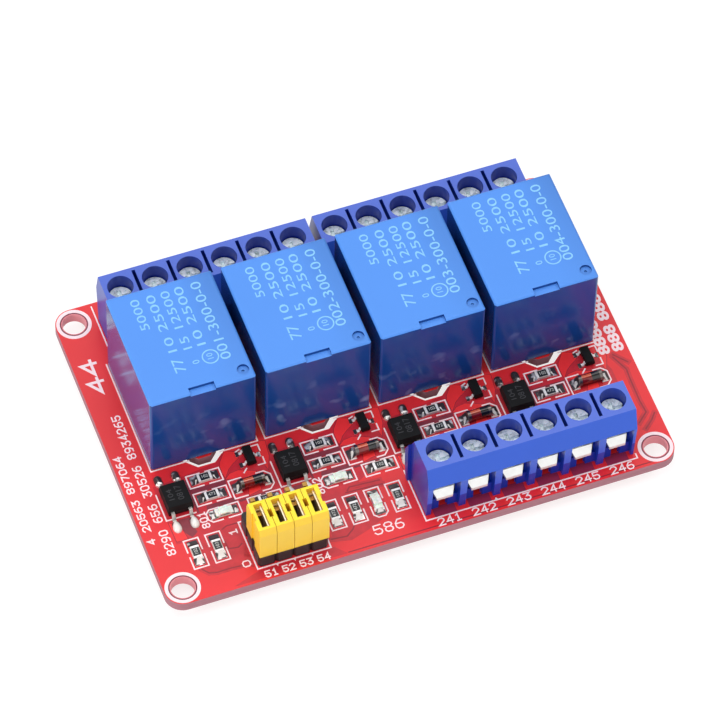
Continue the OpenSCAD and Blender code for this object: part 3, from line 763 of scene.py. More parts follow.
@dataclass(frozen=True)
class BandedGlass(Finish):
    """A glass diode along X: plated ends, a bead with a painted highlight along its top and a black band."""

    middle: float = 0.0
    length: float = 3.5
    cap: float = 0.45
    band: Colour = (0.01, 0.01, 0.01)
    band_from: float = 0.15
    band_width: float = 1.15
    # The colour of the painted highlight on the bead's top.
    painted_highlight_streak: Colour = srgb(206, 92, 58)
    end: Colour = srgb(120, 112, 108)

    def surface(self, sheet: NodeSheet) -> dict:
        """Paints the bands by the distance along the bead, and a painted highlight on its top.

        Args:
            sheet: the material's sheet.

        Returns:
            The shader's inputs.
        """
        along = sheet.parts(sheet.coords("Object"))["X"]
        local = sheet.math("DIVIDE", sheet.math("SUBTRACT", along, self.middle * MM), MM)
        outside = sheet.math("GREATER_THAN", sheet.math("ABSOLUTE", local), self.length / 2 - self.cap)
        banded = sheet.times(sheet.math("GREATER_THAN", local, self.band_from),
                             sheet.math("LESS_THAN", local, self.band_from + self.band_width))
        # Painted highlight: the bead's upward faces take a brighter orange.
        highlight_mask = sheet.math("GREATER_THAN", sheet.normal()["Z"], 0.95)
        bead = sheet.mix(highlight_mask, sheet.tone(self.colour, 0.5, 900.0), self.painted_highlight_streak)
        return {"Base Color": sheet.mix(outside, sheet.mix(banded, bead, self.band), self.end),
                "Metallic": outside, "Roughness": sheet.span(outside, self.roughness, self.roughness + 0.2),
                "Coat Weight": 0.8, "Coat Roughness": 0.05}


@dataclass(frozen=True)
class Lens(Finish):
    """The cloudy clear resin of an LED."""

    def surface(self, sheet: NodeSheet) -> dict:
        """Adds the cloudiness and a clear skin.

        Args:
            sheet: the material's sheet.

        Returns:
            The shader's inputs.
        """
        skin = sheet.effect(Effect.RIPPLE, Scale=1100.0)["Height"]
        return {"Base Color": sheet.tone(self.colour, 0.5, 1900.0), "Normal": sheet.bump(skin, 0.35, 0.05),
                "Subsurface Weight": 0.5, "Subsurface Scale": 0.3 * MM,
                "Coat Weight": 0.9, "Coat Roughness": 0.08}


FINISHES: dict[str, Finish] = {
    "board": MaskedBoard("solder_mask_red", srgb(229, 38, 45), 0.38, laminate=srgb(150, 98, 108)),
    "gap": Moulding("mask_over_laminate", srgb(200, 35, 48), 0.34, drift=0.3, drift_scale=700.0,
                    grain=0.4, grain_scale=900.0, coat=0.1),
    "seam": Moulding("mask_seam", srgb(150, 30, 44), 0.4, drift=0.2, drift_scale=1500.0),
    # Painted shade on the mask between the parts.
    "deep": Moulding("mask_painted_shade", srgb(134, 42, 56), 0.34, drift=0.3, drift_scale=900.0,
                     grain=0.4, grain_scale=900.0, coat=0.1),
    "copper": Moulding("mask_over_copper", srgb(240, 46, 48), 0.34, drift=0.14, drift_scale=500.0,
                       grain=0.4, grain_scale=700.0, coat=0.15),
    "ink": Ink("board_ink", srgb(255, 230, 234), 0.5, wear=0.08),
    "land": Moulding("bare_laminate", srgb(118, 46, 64), 0.6),
    "shade": Moulding("mask_in_shade", srgb(150, 34, 72), 0.5),
    "blush": Moulding("thin_mask", srgb(232, 148, 156), 0.4),
    # The relays' pale top and darker side colour are partly painted light and painted shade.
    "relay": RelayShell("relay_blue_shell", srgb(79, 143, 232), 0.4, side=srgb(22, 68, 142)),
    "relay_base": Moulding("relay_base_blue", srgb(20, 32, 84), 0.5),
    "relay_ink": Ink("relay_ink", srgb(136, 198, 242), 0.6, wear=0.2),
    # The nylon's paler top colour is painted light, and its navy second colour is painted shade.
    "nylon": BlockNylon("terminal_blue_nylon", srgb(51, 94, 207), 0.3, lid=srgb(88, 113, 207),
                        deep=srgb(2, 36, 152)),
    # The screws' near-white, barely metallic colour with strong mottle paints their bright reflections: a
    # painted highlight.
    "screw": Metal("nickel_screw", srgb(244, 255, 255), 0.26, ripple=1.0, ripple_scale=2100.0,
                   patches=0.1, metal=0.15, mottle=1.1),
    "clamp": Metal("zinc_clamp", srgb(190, 190, 192), 0.35, ripple=0.2),
    "tongue": Metal("tin_contact", srgb(236, 236, 234), 0.4, ripple=0.08, patches=0.1),
    "lead": Metal("tinned_lead", srgb(214, 210, 206), 0.26, ripple=0.6, ripple_scale=1900.0),
    # The solder's two tones are painted highlight and painted shade.
    "solder": Solder("reflowed_solder", srgb(246, 242, 238), 0.24, ripple=0.5, ripple_scale=1300.0,
                     depth=0.1, metal=0.8, painted_shade_tone=srgb(92, 84, 84)),
    # Near-white plastic in place of the solder's bright reflection: a painted highlight.
    "drop": Moulding("solder_drop", srgb(232, 228, 224), 0.25, drift=0.1, drift_scale=1500.0, coat=0.8),
    "tin": Metal("chip_end_tin", srgb(250, 248, 246), 0.35, ripple=0.3, ripple_scale=1500.0, metal=0.4),
    "gold": Metal("gold_flash_pin", srgb(178, 138, 74), 0.3, ripple=0.15),
    "brass": Metal("bright_sheet", srgb(246, 240, 222), 0.3, ripple=0.2),
    "strip": Moulding("header_black", srgb(26, 24, 26), 0.42, grain=0.2),
    "epoxy": Moulding("chip_epoxy", srgb(14, 14, 15), 0.6, drift=0.6, drift_scale=700.0, grain=0.6,
                      specular=0.22),
    "glaze": Moulding("resistor_glaze", srgb(22, 22, 25), 0.28, grain=0.1, coat=0.4),
    "alumina": Moulding("alumina_body", srgb(214, 210, 204), 0.5),
    "code": Ink("code_ink", srgb(205, 208, 205), 0.5),
    # The caps' darker colour on their upright faces is painted shade.
    "cap": Moulding("cap_yellow", srgb(252, 226, 48), 0.4, drift=0.06, drift_scale=400.0, grain=0.1,
                    scatter=0.25, side=srgb(248, 204, 56)),
    "etch": Ink("chip_etch", srgb(50, 50, 53), 0.6),
    "lens": Lens("led_lens", srgb(236, 243, 232), 0.16),
}


# ---- thin relief

class Relief:
    """A thin layer of printed or coated shapes on a level surface."""

    def __init__(self, name: str, level: float, thickness: float, pen: float = 0.2) -> None:
        """Starts an empty layer.

        Args:
            name: the piece's name.
            level: the height of the surface.
            thickness: how far the layer stands above it.
            pen: the width of its lines, where a line doesn't say its own.
        """
        self.name = name
        self.level = level
        self.thickness = thickness
        self.pen = pen
        self.count = 0
        self.mesh = bmesh.new()

    def _heights(self) -> tuple[float, float]:
        """Returns the bottom and top of the next shape; tops differ by a hair where shapes cross."""
        self.count += 1
        return self.level, self.level + self.thickness * (1.0 + (self.count % 40) * 0.004)

    def _wall(self, first: list, second: list) -> None:
        """Joins two closed loops of vertices with faces.

        Args:
            first, second: the loops, with as many vertices each.
        """
        for index in range(len(first)):
            after = (index + 1) % len(first)
            self.mesh.faces.new((first[index], first[after], second[after], second[index]))

    def prism(self, outline: list[Point]) -> None:
        """Adds a closed outline as a thin prism.

        Args:
            outline: its points, anticlockwise.
        """
        lower, upper = ([self.mesh.verts.new((x, y, z)) for x, y in outline] for z in self._heights())
        self.mesh.faces.new(upper)
        self.mesh.faces.new(list(reversed(lower)))
        self._wall(lower, upper)

    def band(self, outer: list[Point], inner: list[Point]) -> None:
        """Adds the band between two outlines.

        Args:
            outer, inner: the outlines, with as many points each.
        """
        bottom, top = self._heights()
        loops = [
            [self.mesh.verts.new((x, y, z)) for x, y in outline]
            for outline, z in ((outer, top), (inner, top), (inner, bottom), (outer, bottom))
        ]
        for loop, following in zip(loops, loops[1:] + loops[:1]):
            self._wall(loop, following)

    def ring(self, centre: Point, outer: float, inner: float, sides: int = 64) -> None:
        """Adds a ring between two radii."""
        turns = [2 * math.pi * index / sides for index in range(sides)]
        self.band(*([(centre[0] + radius * math.cos(t), centre[1] + radius * math.sin(t)) for t in turns]
                    for radius in (outer, inner)))

    def flare(self, start: Point, narrow: float, wide: float, length: float, rise: float) -> None:
        """Adds a wedge that widens and falls towards the front.

        Args:
            start: the middle of its back edge.
            narrow, wide: half its width at the back and at the front.
            length: how far it runs.
            rise: its height at the back.
        """
        bottom, edge = self._heights()
        sections = []
        for share in (0.0, 0.35, 0.7, 1.0):
            half = narrow + (wide - narrow) * share
            height = edge + (rise - self.thickness) * (1.0 - share) ** 1.6
            y = start[1] - length * share
            sections.append([self.mesh.verts.new((start[0] + x, y, z)) for x, z in (
                (-half, bottom), (-half * 0.75, height), (half * 0.75, height), (half, bottom))])
        for first, second in zip(sections, sections[1:]):
            self._wall(first, second)
        self.mesh.faces.new(list(reversed(sections[0])))
        self.mesh.faces.new(sections[-1])

    def rectangle(self, low: Point, high: Point) -> None:
        """Adds a filled rectangle."""
        self.prism([(low[0], low[1]), (high[0], low[1]), (high[0], high[1]), (low[0], high[1])])

    def stroke(self, line: list[Point], width: float | None = None, closed: bool = False) -> None:
        """Draws a line of one width with mitred corners.

        Args:
            line: its points, along its middle.
            width: its width, or None for the layer's own.
            closed: joins the last point to the first.
        """
        half = (width or self.pen) / 2
        right: list[Point] = []
        left: list[Point] = []
        count = len(line)
        for index, point in enumerate(line):
            here = Vector(point)
            ways = []
            if index or closed:
                ways.append((here - Vector(line[index - 1])).normalized())
            if index < count - 1 or closed:
                ways.append((Vector(line[(index + 1) % count]) - here).normalized())
            way = (ways[0] + ways[-1]).normalized()
            normal = Vector((-way.y, way.x))
            reach = normal * half / max(0.3, abs(way.dot(ways[0])))
            if not closed and index in (0, count - 1):
                here += way * (half if index else -half)
            right.append(tuple(here - reach))
            left.append(tuple(here + reach))
        if closed:
            self.band(right, left)
        else:
            for index in range(count - 1):
                self.prism([right[index], right[index + 1], left[index + 1], left[index]])

    def trace(self, box: Box, route: str) -> None:
        """Draws a line past a box.

        Args:
            box: the box, in whose middle x and y lie.
            route: the line's X and Y in turn, each a side or the middle and the distance from it. A route
                that keeps to the middle turns with the box, and one that ends where it starts is closed.
        """
        sides = {"x": box.centre.x, "w": box.low.x, "e": box.high.x, "y": box.centre.y, "s": box.low.y,
                 "n": box.high.y}
        steps = route.split()
        if not box.lengthwise and not set(route) & set("wesn"):
            steps = [("x" if step[0] == "y" else "y") + step[1:] for step in steps]
            steps[::2], steps[1::2] = steps[1::2], steps[::2]
        places = [sides[step[0]] + float(step[1:]) for step in steps]
        line = list(zip(places[::2], places[1::2]))
        closed = line[0] == line[-1]
        self.stroke(line[:-1] if closed else line, closed=closed)

    def plotted(self, text: str, place: Point, height: float, length: float, turn: float = 0.0) -> None:
        """Draws plain digits with the layer's pen, as a board plotter does.

        Args:
            text: the digits, and spaces between groups.
            place: the middle of the print.
            height: the digits' height.
            length: the length of the whole line.
            turn: the angle of the line, in degrees.
        """
        space = height * 0.3
        pitch = (length + space) / len(text)
        cosine, sine = math.cos(math.radians(turn)), math.sin(math.radians(turn))
        for index, letter in enumerate(text):
            for line in GLYPHS.get(letter, ()):
                drawn = []
                for across, up in points(line, 0.01):
                    x = index * pitch - length / 2 + across * (pitch - space)
                    y = (up - 0.5) * (height - self.pen)
                    drawn.append((place[0] + x * cosine - y * sine, place[1] + x * sine + y * cosine))
                self.stroke(drawn)

    def numbers(self, text: str, place: Point, height: float, turn: float = 0.0, length: float | None = None,
                weight: float = 0.0) -> None:
        """Prints plain digits.

        Args:
            text: the digits.
            place: the middle of the print.
            height: the digits' height.
            turn: the angle of the line, in degrees.
            length: the length that the line is drawn out to, or None for the font's own.
            weight: how much the strokes are thickened.
        """
        curve = bpy.data.curves.new(self.name + "_digits", "FONT")
        curve.body = text
        curve.align_x = curve.align_y = "CENTER"
        curve.size = height * 1.4
        curve.offset = weight
        curve.resolution_u = 3
        bottom, top = self._heights()
        curve.extrude = (top - bottom) / 2
        holder = link(curve.name, curve)
        bpy.context.view_layer.update()
        flat = bpy.data.meshes.new_from_object(holder.evaluated_get(bpy.context.evaluated_depsgraph_get()))
        if length:
            xs = [vertex.co.x for vertex in flat.vertices]
            flat.transform(Matrix.Translation((-(min(xs) + max(xs)) / 2, 0.0, 0.0)))
            flat.transform(Matrix.Scale(length / (max(xs) - min(xs)), 4, (1.0, 0.0, 0.0)))
        spin = Matrix.Rotation(math.radians(turn), 4, "Z")
        flat.transform(Matrix.Translation((place[0], place[1], (bottom + top) / 2)) @ spin)
        self.mesh.from_mesh(flat)
        bpy.data.objects.remove(holder)
        bpy.data.curves.remove(curve)
        bpy.data.meshes.remove(flat)

    def finish(self, material: Material, slot: str) -> None:
        """Turns the layer into a piece that rides on the board."""
        lay(self.name, self.mesh, material)


# ---- the board

@dataclass
class Part:
    """What every part's builder works with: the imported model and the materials."""

    model: Model
    palette: Palette


@dataclass
class Dresser(Part):
    """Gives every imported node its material, in place of the plain one it came with."""

    def build(self) -> None:
        """Dresses all nodes."""
        for key, patterns in DRESS.items():
            for pattern in patterns:
                for name in channel_names(pattern):
                    self.dress(self.palette[key], name)
        for block in BLOCKS:
            for key, part in BLOCK_DRESS.items():
                self.dress(self.palette[key], f"{block}_{part}")
        for i in CHANNELS:
            name = f"diode_glass_{i}"
            bead = self.model.box(name)
            glass = BandedGlass(name + "_bead", srgb(128, 20, 22), 0.1, bead.centre.x, bead.size.x)
            self.dress(glass.build(), name)

    def dress(self, material: Material, name: str) -> None:
        """Gives one node its material.

        Args:
            material: the material.
            name: the node.
        """
        mesh = self.model.node(name).data
        mesh.materials.clear()
        mesh.materials.append(material)


@dataclass
class Board(Part):
    """The circuit board's printed outlines, numbers and copper."""

    ink_thickness: float = 0.03
    film: float = 0.01
    broad_line: float = 0.84
    seam_line: float = 0.21
    front_line: float = 0.18
    pour_line: float = 0.15
    ring_outer: float = 2.5
    ring_inner: float = 2.0
    hole_rim: float = 0.1
    hair: float = 0.01
    mouth: float = 1.6
    lining: float = 0.03
    frame_gap: float = 0.25
    tick: float = 0.45

    def __post_init__(self) -> None:
        """Reads the board's surface, its mounting holes and what stands on it."""
        self.outline = self.model.box("circuit_board")
        self.top = self.outline.high.z
        mount = next(m for m in self.model.frame["record"]["mounts"] if m["name"] == "mounting_holes")
        half_x, half_y = (mount["dims"][key] / 2 for key in ("spacing_x_mm", "spacing_y_mm"))
        self.holes = [(x * half_x, y * half_y) for x in (-1, 1) for y in (-1, 1)]
        self.hole_radius = mount["dims"]["hole_r_mm"]
        self.relays = self.model.boxes("relay_{}_case")
        self.block = self.model.box("input_terminal_housing")
        self.strip = self.model.box("header_strip")
        self.pitch = self.strip.size.x / len(CHANNELS)

    def build(self) -> None:
        """Lays the board's film and print on it."""
        self.linings()
        self.lands()
        self.mask_relief()
        self.print_outlines()
        self.print_numbers()

    def lands(self) -> None:
        """Adds a pale rim and a bare ring round each mounting hole, and shades the terminal's mouths."""
        rims = Relief("hole_rims", self.top, self.film)
        rings = Relief("hole_lands", self.top, self.film)
        shades = Relief("mouth_shades", self.top, self.film)
        for hole in self.holes:
            rims.ring(hole, self.hole_radius + self.hole_rim, self.hole_radius + self.hair)
            rings.ring(hole, self.ring_inner, self.hole_radius + self.hole_rim + 2 * self.hair)
        front = self.block.low.y
        for tongue in self.model.solids("input_terminal_contacts"):
            shades.rectangle((tongue.low.x, front - 0.1), (tongue.high.x, front + self.mouth))
        rims.finish(self.palette["blush"], "board_red")
        rings.finish(self.palette["land"], "board_red")
        shades.finish(self.palette["shade"], "board_red")

    def linings(self) -> None:
        """Lines the walls of the mounting holes."""
        low = self.outline.low.z
        linings = Relief("hole_linings", low + self.lining, self.top - low - 2 * self.lining)
        for hole in self.holes:
            linings.ring(hole, self.hole_radius + self.hair / 2, self.hole_radius - self.lining)
        linings.finish(self.palette["blush"], "board_red")

    def mask_relief(self) -> None:
        """Darkens the mask where the copper is cleared, lays painted shade between the parts there, and lays
        the small pours over it.
        """
        layers = {key: Relief(name, self.top, self.film * share)
                  for key, (name, share) in MASK_LAYERS.items()}
        gaps, seams, painted_shades, pours = layers.values()
        half = (self.relays[1].centre.x - self.relays[0].centre.x) / 2
        for relay in self.relays:
            middle, front = relay.centre.x, relay.low.y
            # The second layer here is painted shade between the parts.
            for layer, outlines in ((gaps, CHANNEL_TROUGHS), (painted_shades, CHANNEL_SHADES)):
                for outline in outlines:
                    layer.prism([(middle + max(-half, min(half, x)), front + y) for x, y in points(outline)])
            for pour in CHANNEL_POURS:
                edge = [(middle + x, front + y) for x, y in points(pour)]
                pours.prism(edge)
                seams.stroke(edge, self.pour_line, closed=True)
        for patch in BOARD_PATCHES:
            gaps.prism(points(patch))
        for line in BOARD_GAPS:
            gaps.stroke(points(line), self.broad_line)
            seams.stroke(points(line), self.seam_line)
        y = self.outline.low.y + 0.5
        seams.stroke([(self.outline.low.x + 26.0, y), (self.outline.high.x - 4.0, y)], self.front_line)
        for key, layer in layers.items():
            layer.finish(self.palette[key], "board_red")

    def print_outlines(self) -> None:
        """Prints the outlines of every part that stands on the board."""
        ink = Relief("board_outlines", self.top, self.ink_thickness)
        for hole in self.holes:
            ink.ring(hole, self.ring_outer, self.ring_inner)
        for pattern, routes in PRINT_ROUTES.items():
            for name in channel_names(pattern):
                for solid in self.model.solids(name) if name == "resistors" else [self.model.box(name)]:
                    for route in routes:
                        ink.trace(solid, route)
        self.header_ticks(ink)
        self.terminal_frames(ink)
        ink.finish(self.palette["ink"], "board_red")

    def header_ticks(self, ink: Relief) -> None:
        """Prints a tick between the columns of the jumper header, in front of its frame.

        Args:
            ink: the layer to print on.
        """
        front = self.strip.low.y - self.frame_gap
        for index in range(1, len(CHANNELS)):
            x = self.strip.low.x + index * self.pitch
            ink.prism([(x - self.tick / 2, front), (x, front - self.tick), (x + self.tick / 2, front)])

    def terminal_frames(self, ink: Relief) -> None:
        """Prints the line round the input terminal and the ends of the output ones.

        Args:
            ink: the layer to print on.
        """
        block = self.block
        left, right = block.low.x + 0.2, block.high.x + 0.35
        front = self.model.box("input_terminal_contacts").centre.y - 3.5
        ink.stroke([(left, block.high.y + 0.3), (left, front), (right, front), (right, front + 0.7)])
        back = self.model.box("output_terminal_left_housing")
        far = self.model.box("output_terminal_right_housing")
        for x in (back.low.x - 0.3, far.high.x + 0.3):
            ink.stroke([(x, back.centre.y - 1.2), (x, self.outline.high.y - 0.6)])
        x = left + block.size.x / 3
        ink.prism([(x - self.tick / 2, front + ink.pen / 2), (x + self.tick / 2, front + ink.pen / 2),
                   (x, front + self.tick)])

    def print_numbers(self) -> None:
        """Prints plain numbers where the board has its labels."""
        ink = Relief("board_numbers", self.top, self.ink_thickness, pen=0.19)
        front = self.outline.low.y
        for index in range(len(CHANNELS)):
            x = self.strip.low.x + (index + 0.5) * self.pitch + 0.05
            ink.plotted(f"5{index + 1}", (x, front + 0.88), 1.15, 1.7)
        for index, contact in enumerate(self.model.solids("input_terminal_contacts")):
            ink.plotted(f"{index + 241}", (contact.centre.x + 0.15, front + 0.92), 1.3, 3.3)
        ink.plotted("586", (self.model.box("power_led").centre.x + 0.2, front + 2.6), 1.65, 4.2)
        for row, label in ((self.strip.high.y - 1.0, "1"), (self.strip.low.y + 1.1, "0")):
            ink.plotted(label, (self.strip.low.x - 1.4, row), 1.2, 0.9, turn=90)
        for i, relay in zip(CHANNELS, self.relays):
            ink.plotted(f"80{i}", (relay.centre.x - 3.55, relay.low.y - 10.05), 1.15, 2.6, turn=90)
        left, right = self.outline.low.x, self.outline.high.x
        ink.plotted("4 20563 897064", (left + 1.05, -7.7), 1.15, 15.2, turn=90)
        ink.plotted("8290 656 30526 8934265", (left + 3.05, -5.65), 1.3, 24.3, turn=90)
        ink.pen = 0.42
        ink.plotted("44", (left + 2.3, 13.9), 2.5, 5.6, turn=90)
        ink.numbers("8888888", (right - 3.3, -1.1), 1.6, turn=90, length=10.7, weight=0.07)
        ink.numbers("888 8888", (right - 1.25, -0.6), 1.6, turn=90, length=11.9, weight=0.07)
        ink.finish(self.palette["ink"], "board_red")


# ---- the relays

@dataclass
class RelayPrint(Part):
    """The plain numbers on the relays' tops."""

    ink_thickness: float = 0.012

    def build(self) -> None:
        """Prints columns of digits that run from the front of each relay to its back."""
        for i, case in zip(CHANNELS, self.model.boxes("relay_{}_case")):
            ink = Relief(f"relay_{i}_numbers", case.high.z, self.ink_thickness)
            left, front = case.low.x, case.low.y
            columns = (
                ("5000", 3.7, 12.2, 17.6, 1.3), ("10 2500", 6.0, 7.5, 17.6, 1.3),
                ("15 12500", 8.1, 7.3, 17.6, 1.3), ("10 2500", 10.1, 7.3, 17.7, 1.3),
                (f"00{i}-300-0-0", 12.6, 4.0, 17.7, 1.5),
            )
            for text, across, start, end, height in columns:
                place = (left + across, front + (start + end) / 2)
                ink.numbers(text, place, height, turn=90, length=end - start)
            ink.ring((left + 10.5, front + 5.1), 1.2, 1.02)
            ink.numbers("10", (left + 10.5, front + 5.1), 0.9, turn=90)
            ink.numbers("0", (left + 8.4, front + 4.9), 1.0, turn=90)
            ink.numbers("77", (left + 6.0, front + 5.1), 1.6, turn=90, length=2.3)
            ink.finish(self.palette["relay_ink"], "relay_blue")


# ---- small parts

@dataclass
class SmallParts(Part):
    """What the chips, the LEDs and the solder add to their solids."""

    glaze_thickness: float = 0.03
    code_thickness: float = 0.01
    codes: tuple[str, ...] = ("102", "103", "472")
    led_base: Place = (2.5, 1.2, 0.5)
    drop_swell: float = 1.06
    drop_taper: float = 0.5
    flare_rise: float = 0.6
    flare_edge: float = 0.14

    def __post_init__(self) -> None:
        """Reads the height of the board's surface."""
        self.top = self.model.box("circuit_board").high.z

    def build(self) -> None:
        """Adds every piece of the small parts."""
        self.resistor_tops()
        self.opto_codes()
        self.solder_drops()
        self.led_bases()
        self.painted_solder_glints()

    def resistor_tops(self) -> None:
        """Lays the black glaze on each chip resistor and prints its code."""
        chips = self.model.solids("resistors")
        top = chips[0].high.z
        glaze = Relief("resistor_glaze", top, self.glaze_thickness)
        code = Relief("resistor_codes", top + self.glaze_thickness * 1.2, self.code_thickness)
        margin = 0.09
        for index, chip in enumerate(chips):
            along, across = (0.0, margin) if chip.lengthwise else (margin, 0.0)
            inset = Vector((along, across))
            glaze.rectangle(chip.low.xy + inset, chip.high.xy - inset)
            code.numbers(self.codes[index % len(self.codes)], (chip.centre.x, chip.centre.y), 0.5,
                         turn=0 if chip.lengthwise else 90)
        glaze.finish(self.palette["glaze"], "resistor_black")
        code.finish(self.palette["code"], "resistor_black")

    def opto_codes(self) -> None:
        """Etches a faint plain code on each optocoupler."""
        bodies = self.model.boxes("optocoupler_{}")
        etch = Relief("opto_codes", bodies[0].high.z, self.code_thickness)
        for body in bodies:
            x, y = body.centre.x, body.centre.y + 0.1
            etch.numbers("0817", (x + 0.5, y), 0.9, turn=90, length=2.4)
            etch.numbers("104", (x - 0.8, y), 0.8, turn=90, length=1.8)
        etch.finish(self.palette["etch"], "chip_black")

    def solder_drops(self) -> None:
        """Swells the solder at the front leads of the optocouplers, in a near-white finish that paints their
        highlight.
        """
        mesh = bmesh.new()
        bodies = self.model.boxes("optocoupler_{}")
        for solid in self.model.solids("surface_solder"):
            x, y = solid.centre.xy
            if not any(body.low.x < x < body.high.x and -3.5 < y - body.low.y < 0.0 for body in bodies):
                continue
            size = solid.size * self.drop_swell
            place = Vector((x, y, self.top))
            stretch = Matrix.Diagonal((size.x, size.y, size.z * 2 + 0.4, 1.0))
            made = bmesh.ops.create_uvsphere(mesh, u_segments=28, v_segments=18, radius=0.5,
                                             matrix=Matrix.Translation(place) @ stretch)
            for vertex in made["verts"]:
                vertex.co.z = max(vertex.co.z, self.top)
                narrow = 1.0 - self.drop_taper * (vertex.co.y - place.y) / size.y
                vertex.co.x = place.x + (vertex.co.x - place.x) * narrow
        for face in mesh.faces:
            face.smooth = True
        lay("solder_drops", mesh, self.palette["drop"])

    def led_bases(self) -> None:
        """Lays the pale base that each chip LED's resin stands on."""
        length, width, height = self.led_base
        layer = Relief("led_bases", self.top, height)
        for led in (self.model.box("power_led"), *self.model.boxes("channel_led_{}")):
            half = Vector((length, width) if led.lengthwise else (width, length)) / 2
            layer.rectangle(led.centre.xy - half, led.centre.xy + half)
        layer.finish(self.palette["lens"], "led_clear")

    def painted_solder_glints(self) -> None:
        """Lays pale wedges that run down to the front of the pads: painted highlights on the solder fillets.
        """
        # Painted highlight: thin pale wedges on the board in front of the pads.
        layer = Relief("painted_solder_glints", self.top, self.flare_edge)
        for chip in self.model.solids("resistors"):
            if not chip.lengthwise:
                layer.flare((chip.centre.x, chip.low.y - 0.3), 0.3, 0.75, 0.95, self.flare_rise)
                continue
            reach = chip.size.x / 2 + 0.62
            for x in (chip.centre.x - reach, chip.centre.x + reach):
                layer.flare((x, chip.centre.y - 0.05), 0.14, 0.36, 0.65, self.flare_rise * 0.6)
        for bead, led in zip(self.model.boxes("diode_glass_{}"), self.model.boxes("channel_led_{}")):
            for x in (bead.low.x - 0.35, bead.high.x + 0.35):
                layer.flare((x, bead.centre.y + 0.1), 0.2, 0.5, 1.0, self.flare_rise * 1.3)
            for x in (led.centre.x - 1.65, led.centre.x + 1.65):
                layer.flare((x, led.centre.y), 0.14, 0.34, 0.6, self.flare_rise * 0.6)
        led = self.model.box("power_led")
        front = led.centre.y - self.led_base[0] / 2
        layer.flare((led.centre.x, front), 0.3, 0.6, 0.5, self.flare_rise * 0.8)
        layer.finish(self.palette["drop"], "solder")


# ---- studio

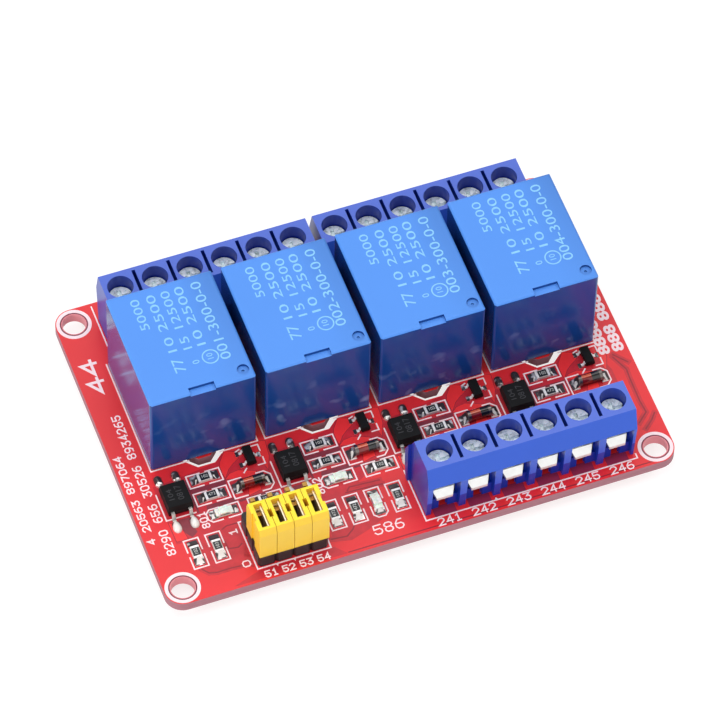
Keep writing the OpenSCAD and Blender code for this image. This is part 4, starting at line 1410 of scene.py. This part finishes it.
@dataclass
class Studio:
    """The floor, the lamps, the background and the camera."""

    floor_size: float = 6.0
    sky_lobe: Place = (0.21052529, 0.53444202, 0.81856633)
    front_lobe: Place = (0.1, -0.93, 0.35)
    camera_place: Place = (-0.1652127, -0.4180577, 0.6502055)
    camera_right: Place = (0.93860993, -0.34458945, 0.01641657)
    camera_up: Place = (0.27329561, 0.77177059, 0.57417738)
    camera_back: Place = (-0.21052529, -0.53444202, 0.81856633)
    lens: float = 281.53
    sensor: float = 36.0

    def build(self) -> None:
        """Sets up the whole studio."""
        self.camera()
        self.floor()
        self.background()
        self.softbox("softbox_top", (-0.2, 0.1, 0.92), (0.0, 0.0, 0.0), 0.8, 4.05)
        self.softbox("softbox_front", (-0.35, -0.85, 0.5), (0.0, 0.0, 0.0), 0.6, 2.4)
        self.softbox("spark_right", (0.7, -0.1, 0.8), (0.0, 0.0, 0.0), 0.35, 1.5)
        self.softbox("softbox_left", (-1.0, -0.1, 0.16), (0.0, 0.0, 0.01), 0.35, 2.6)
        bpy.context.scene.view_settings.view_transform = "Standard"

    def camera(self) -> None:
        """Places the camera by its own axes."""
        data = bpy.data.cameras.new("camera")
        data.sensor_width = self.sensor
        data.lens = self.lens
        data.clip_start = 0.05
        data.clip_end = 20.0
        camera = link("camera", data)
        axes = Matrix((self.camera_right, self.camera_up, self.camera_back)).transposed().to_4x4()
        camera.matrix_world = Matrix.Translation(self.camera_place) @ axes
        bpy.context.scene.camera = camera

    def floor(self) -> None:
        """Lays a floor that is pale paper to the lamps and white to the camera, but for the shadow."""
        half = self.floor_size / 2
        data = bpy.data.meshes.new("floor")
        square = [(-half, -half, 0), (half, -half, 0), (half, half, 0), (-half, half, 0)]
        data.from_pydata(square, [], [(0, 1, 2, 3)])
        floor = link("floor", data)
        material = bpy.data.materials.new("floor_paper")
        material.use_nodes = True
        sheet = NodeSheet(material.node_tree)
        paper = sheet.add("BsdfDiffuse", {"Color": (0.8, 0.8, 0.8)})
        dim = sheet.add("BsdfDiffuse", {"Color": (0.3, 0.3, 0.3)})
        glow = sheet.add("Emission", {"Color": (1.0, 1.0, 1.0), "Strength": 0.77})
        white = sheet.add("AddShader", {0: dim.outputs[0], 1: glow.outputs[0]})
        path = sheet.add("LightPath").outputs
        seen = sheet.math("MAXIMUM", path["Is Camera Ray"], self.mirrored(sheet, path))
        blend = sheet.add("MixShader", {0: seen, 1: paper.outputs[0], 2: white.outputs[0]})
        sheet.add("OutputMaterial", {"Surface": blend.outputs[0]})
        data.materials.append(material)

    def mirrored(self, sheet: NodeSheet, path: Outputs) -> Socket:
        """Masks the rays that come off a shiny surface or through a clear one."""
        return sheet.math("MAXIMUM", path["Is Glossy Ray"], path["Is Transmission Ray"])

    def background(self) -> None:
        """Gives soft even light, brighter patches to shiny surfaces, and white to the camera."""
        world = bpy.data.worlds.new("studio_world")
        bpy.context.scene.world = world
        world.use_nodes = True
        sheet = NodeSheet(world.node_tree)
        way = sheet.coords("Generated")
        sky = self.lobe(sheet, way, self.sky_lobe, 0.86, 0.97)
        front = self.lobe(sheet, way, self.front_lobe, 0.55, 0.9)
        glow = sheet.mix(sky, (0.2, 0.2, 0.21), (1.25, 1.25, 1.25))
        glow = sheet.mix(front, glow, (1.05, 1.05, 1.05))
        soft = sheet.add("Background", {"Color": (1.0, 1.0, 1.0), "Strength": 0.6})
        white = sheet.add("Background", {"Color": (1.0, 1.0, 1.0), "Strength": 1.0})
        bright = sheet.add("Background", {"Color": glow, "Strength": 1.0})
        path = sheet.add("LightPath").outputs
        shiny = self.mirrored(sheet, path)
        inner = sheet.add("MixShader", {0: shiny, 1: soft.outputs[0], 2: bright.outputs[0]})
        outer = sheet.add("MixShader", {0: path["Is Camera Ray"], 1: inner.outputs[0], 2: white.outputs[0]})
        sheet.add("OutputWorld", {"Surface": outer.outputs[0]})

    def lobe(self, sheet: NodeSheet, way: Socket, aim: Place, low: float, high: float) -> Socket:
        """Masks the sky round one direction.

        Args:
            sheet: where the nodes go.
            way: the direction looked up.
            aim: the middle of the lobe.
            low, high: the cosines where the mask starts and is full.

        Returns:
            The mask, from 0 to 1.
        """
        values = {0: way, 1: tuple(Vector(aim).normalized())}
        aligned = sheet.add("VectorMath", values, operation="DOT_PRODUCT").outputs["Value"]
        return sheet.remap(aligned, low, high, smooth=True)

    def softbox(self, name: str, place: Place, aim: Place, size: float, power: float) -> None:
        """Adds a square area lamp.

        Args:
            name: the lamp's name.
            place, aim: where it stands, and the point that it faces.
            size: the length of its sides, in metres.
            power: its strength, in watts.
        """
        data = bpy.data.lights.new(name, "AREA")
        data.shape = "SQUARE"
        data.size = size
        data.energy = power
        turn = (Vector(aim) - Vector(place)).to_track_quat("-Z", "Y").to_matrix().to_4x4()
        link(name, data).matrix_world = Matrix.Translation(place) @ turn


def main() -> None:
    """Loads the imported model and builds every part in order."""
    logging.basicConfig(level=logging.INFO, format="%(message)s")
    model = Model(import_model())
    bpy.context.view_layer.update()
    Studio().build()
    EffectLibrary().build()
    palette = {key: finish.build() for key, finish in FINISHES.items()}
    for part in (Dresser, Board, RelayPrint, SmallParts):
        part(model, palette).build()


if __name__ == "__main__":
    main()
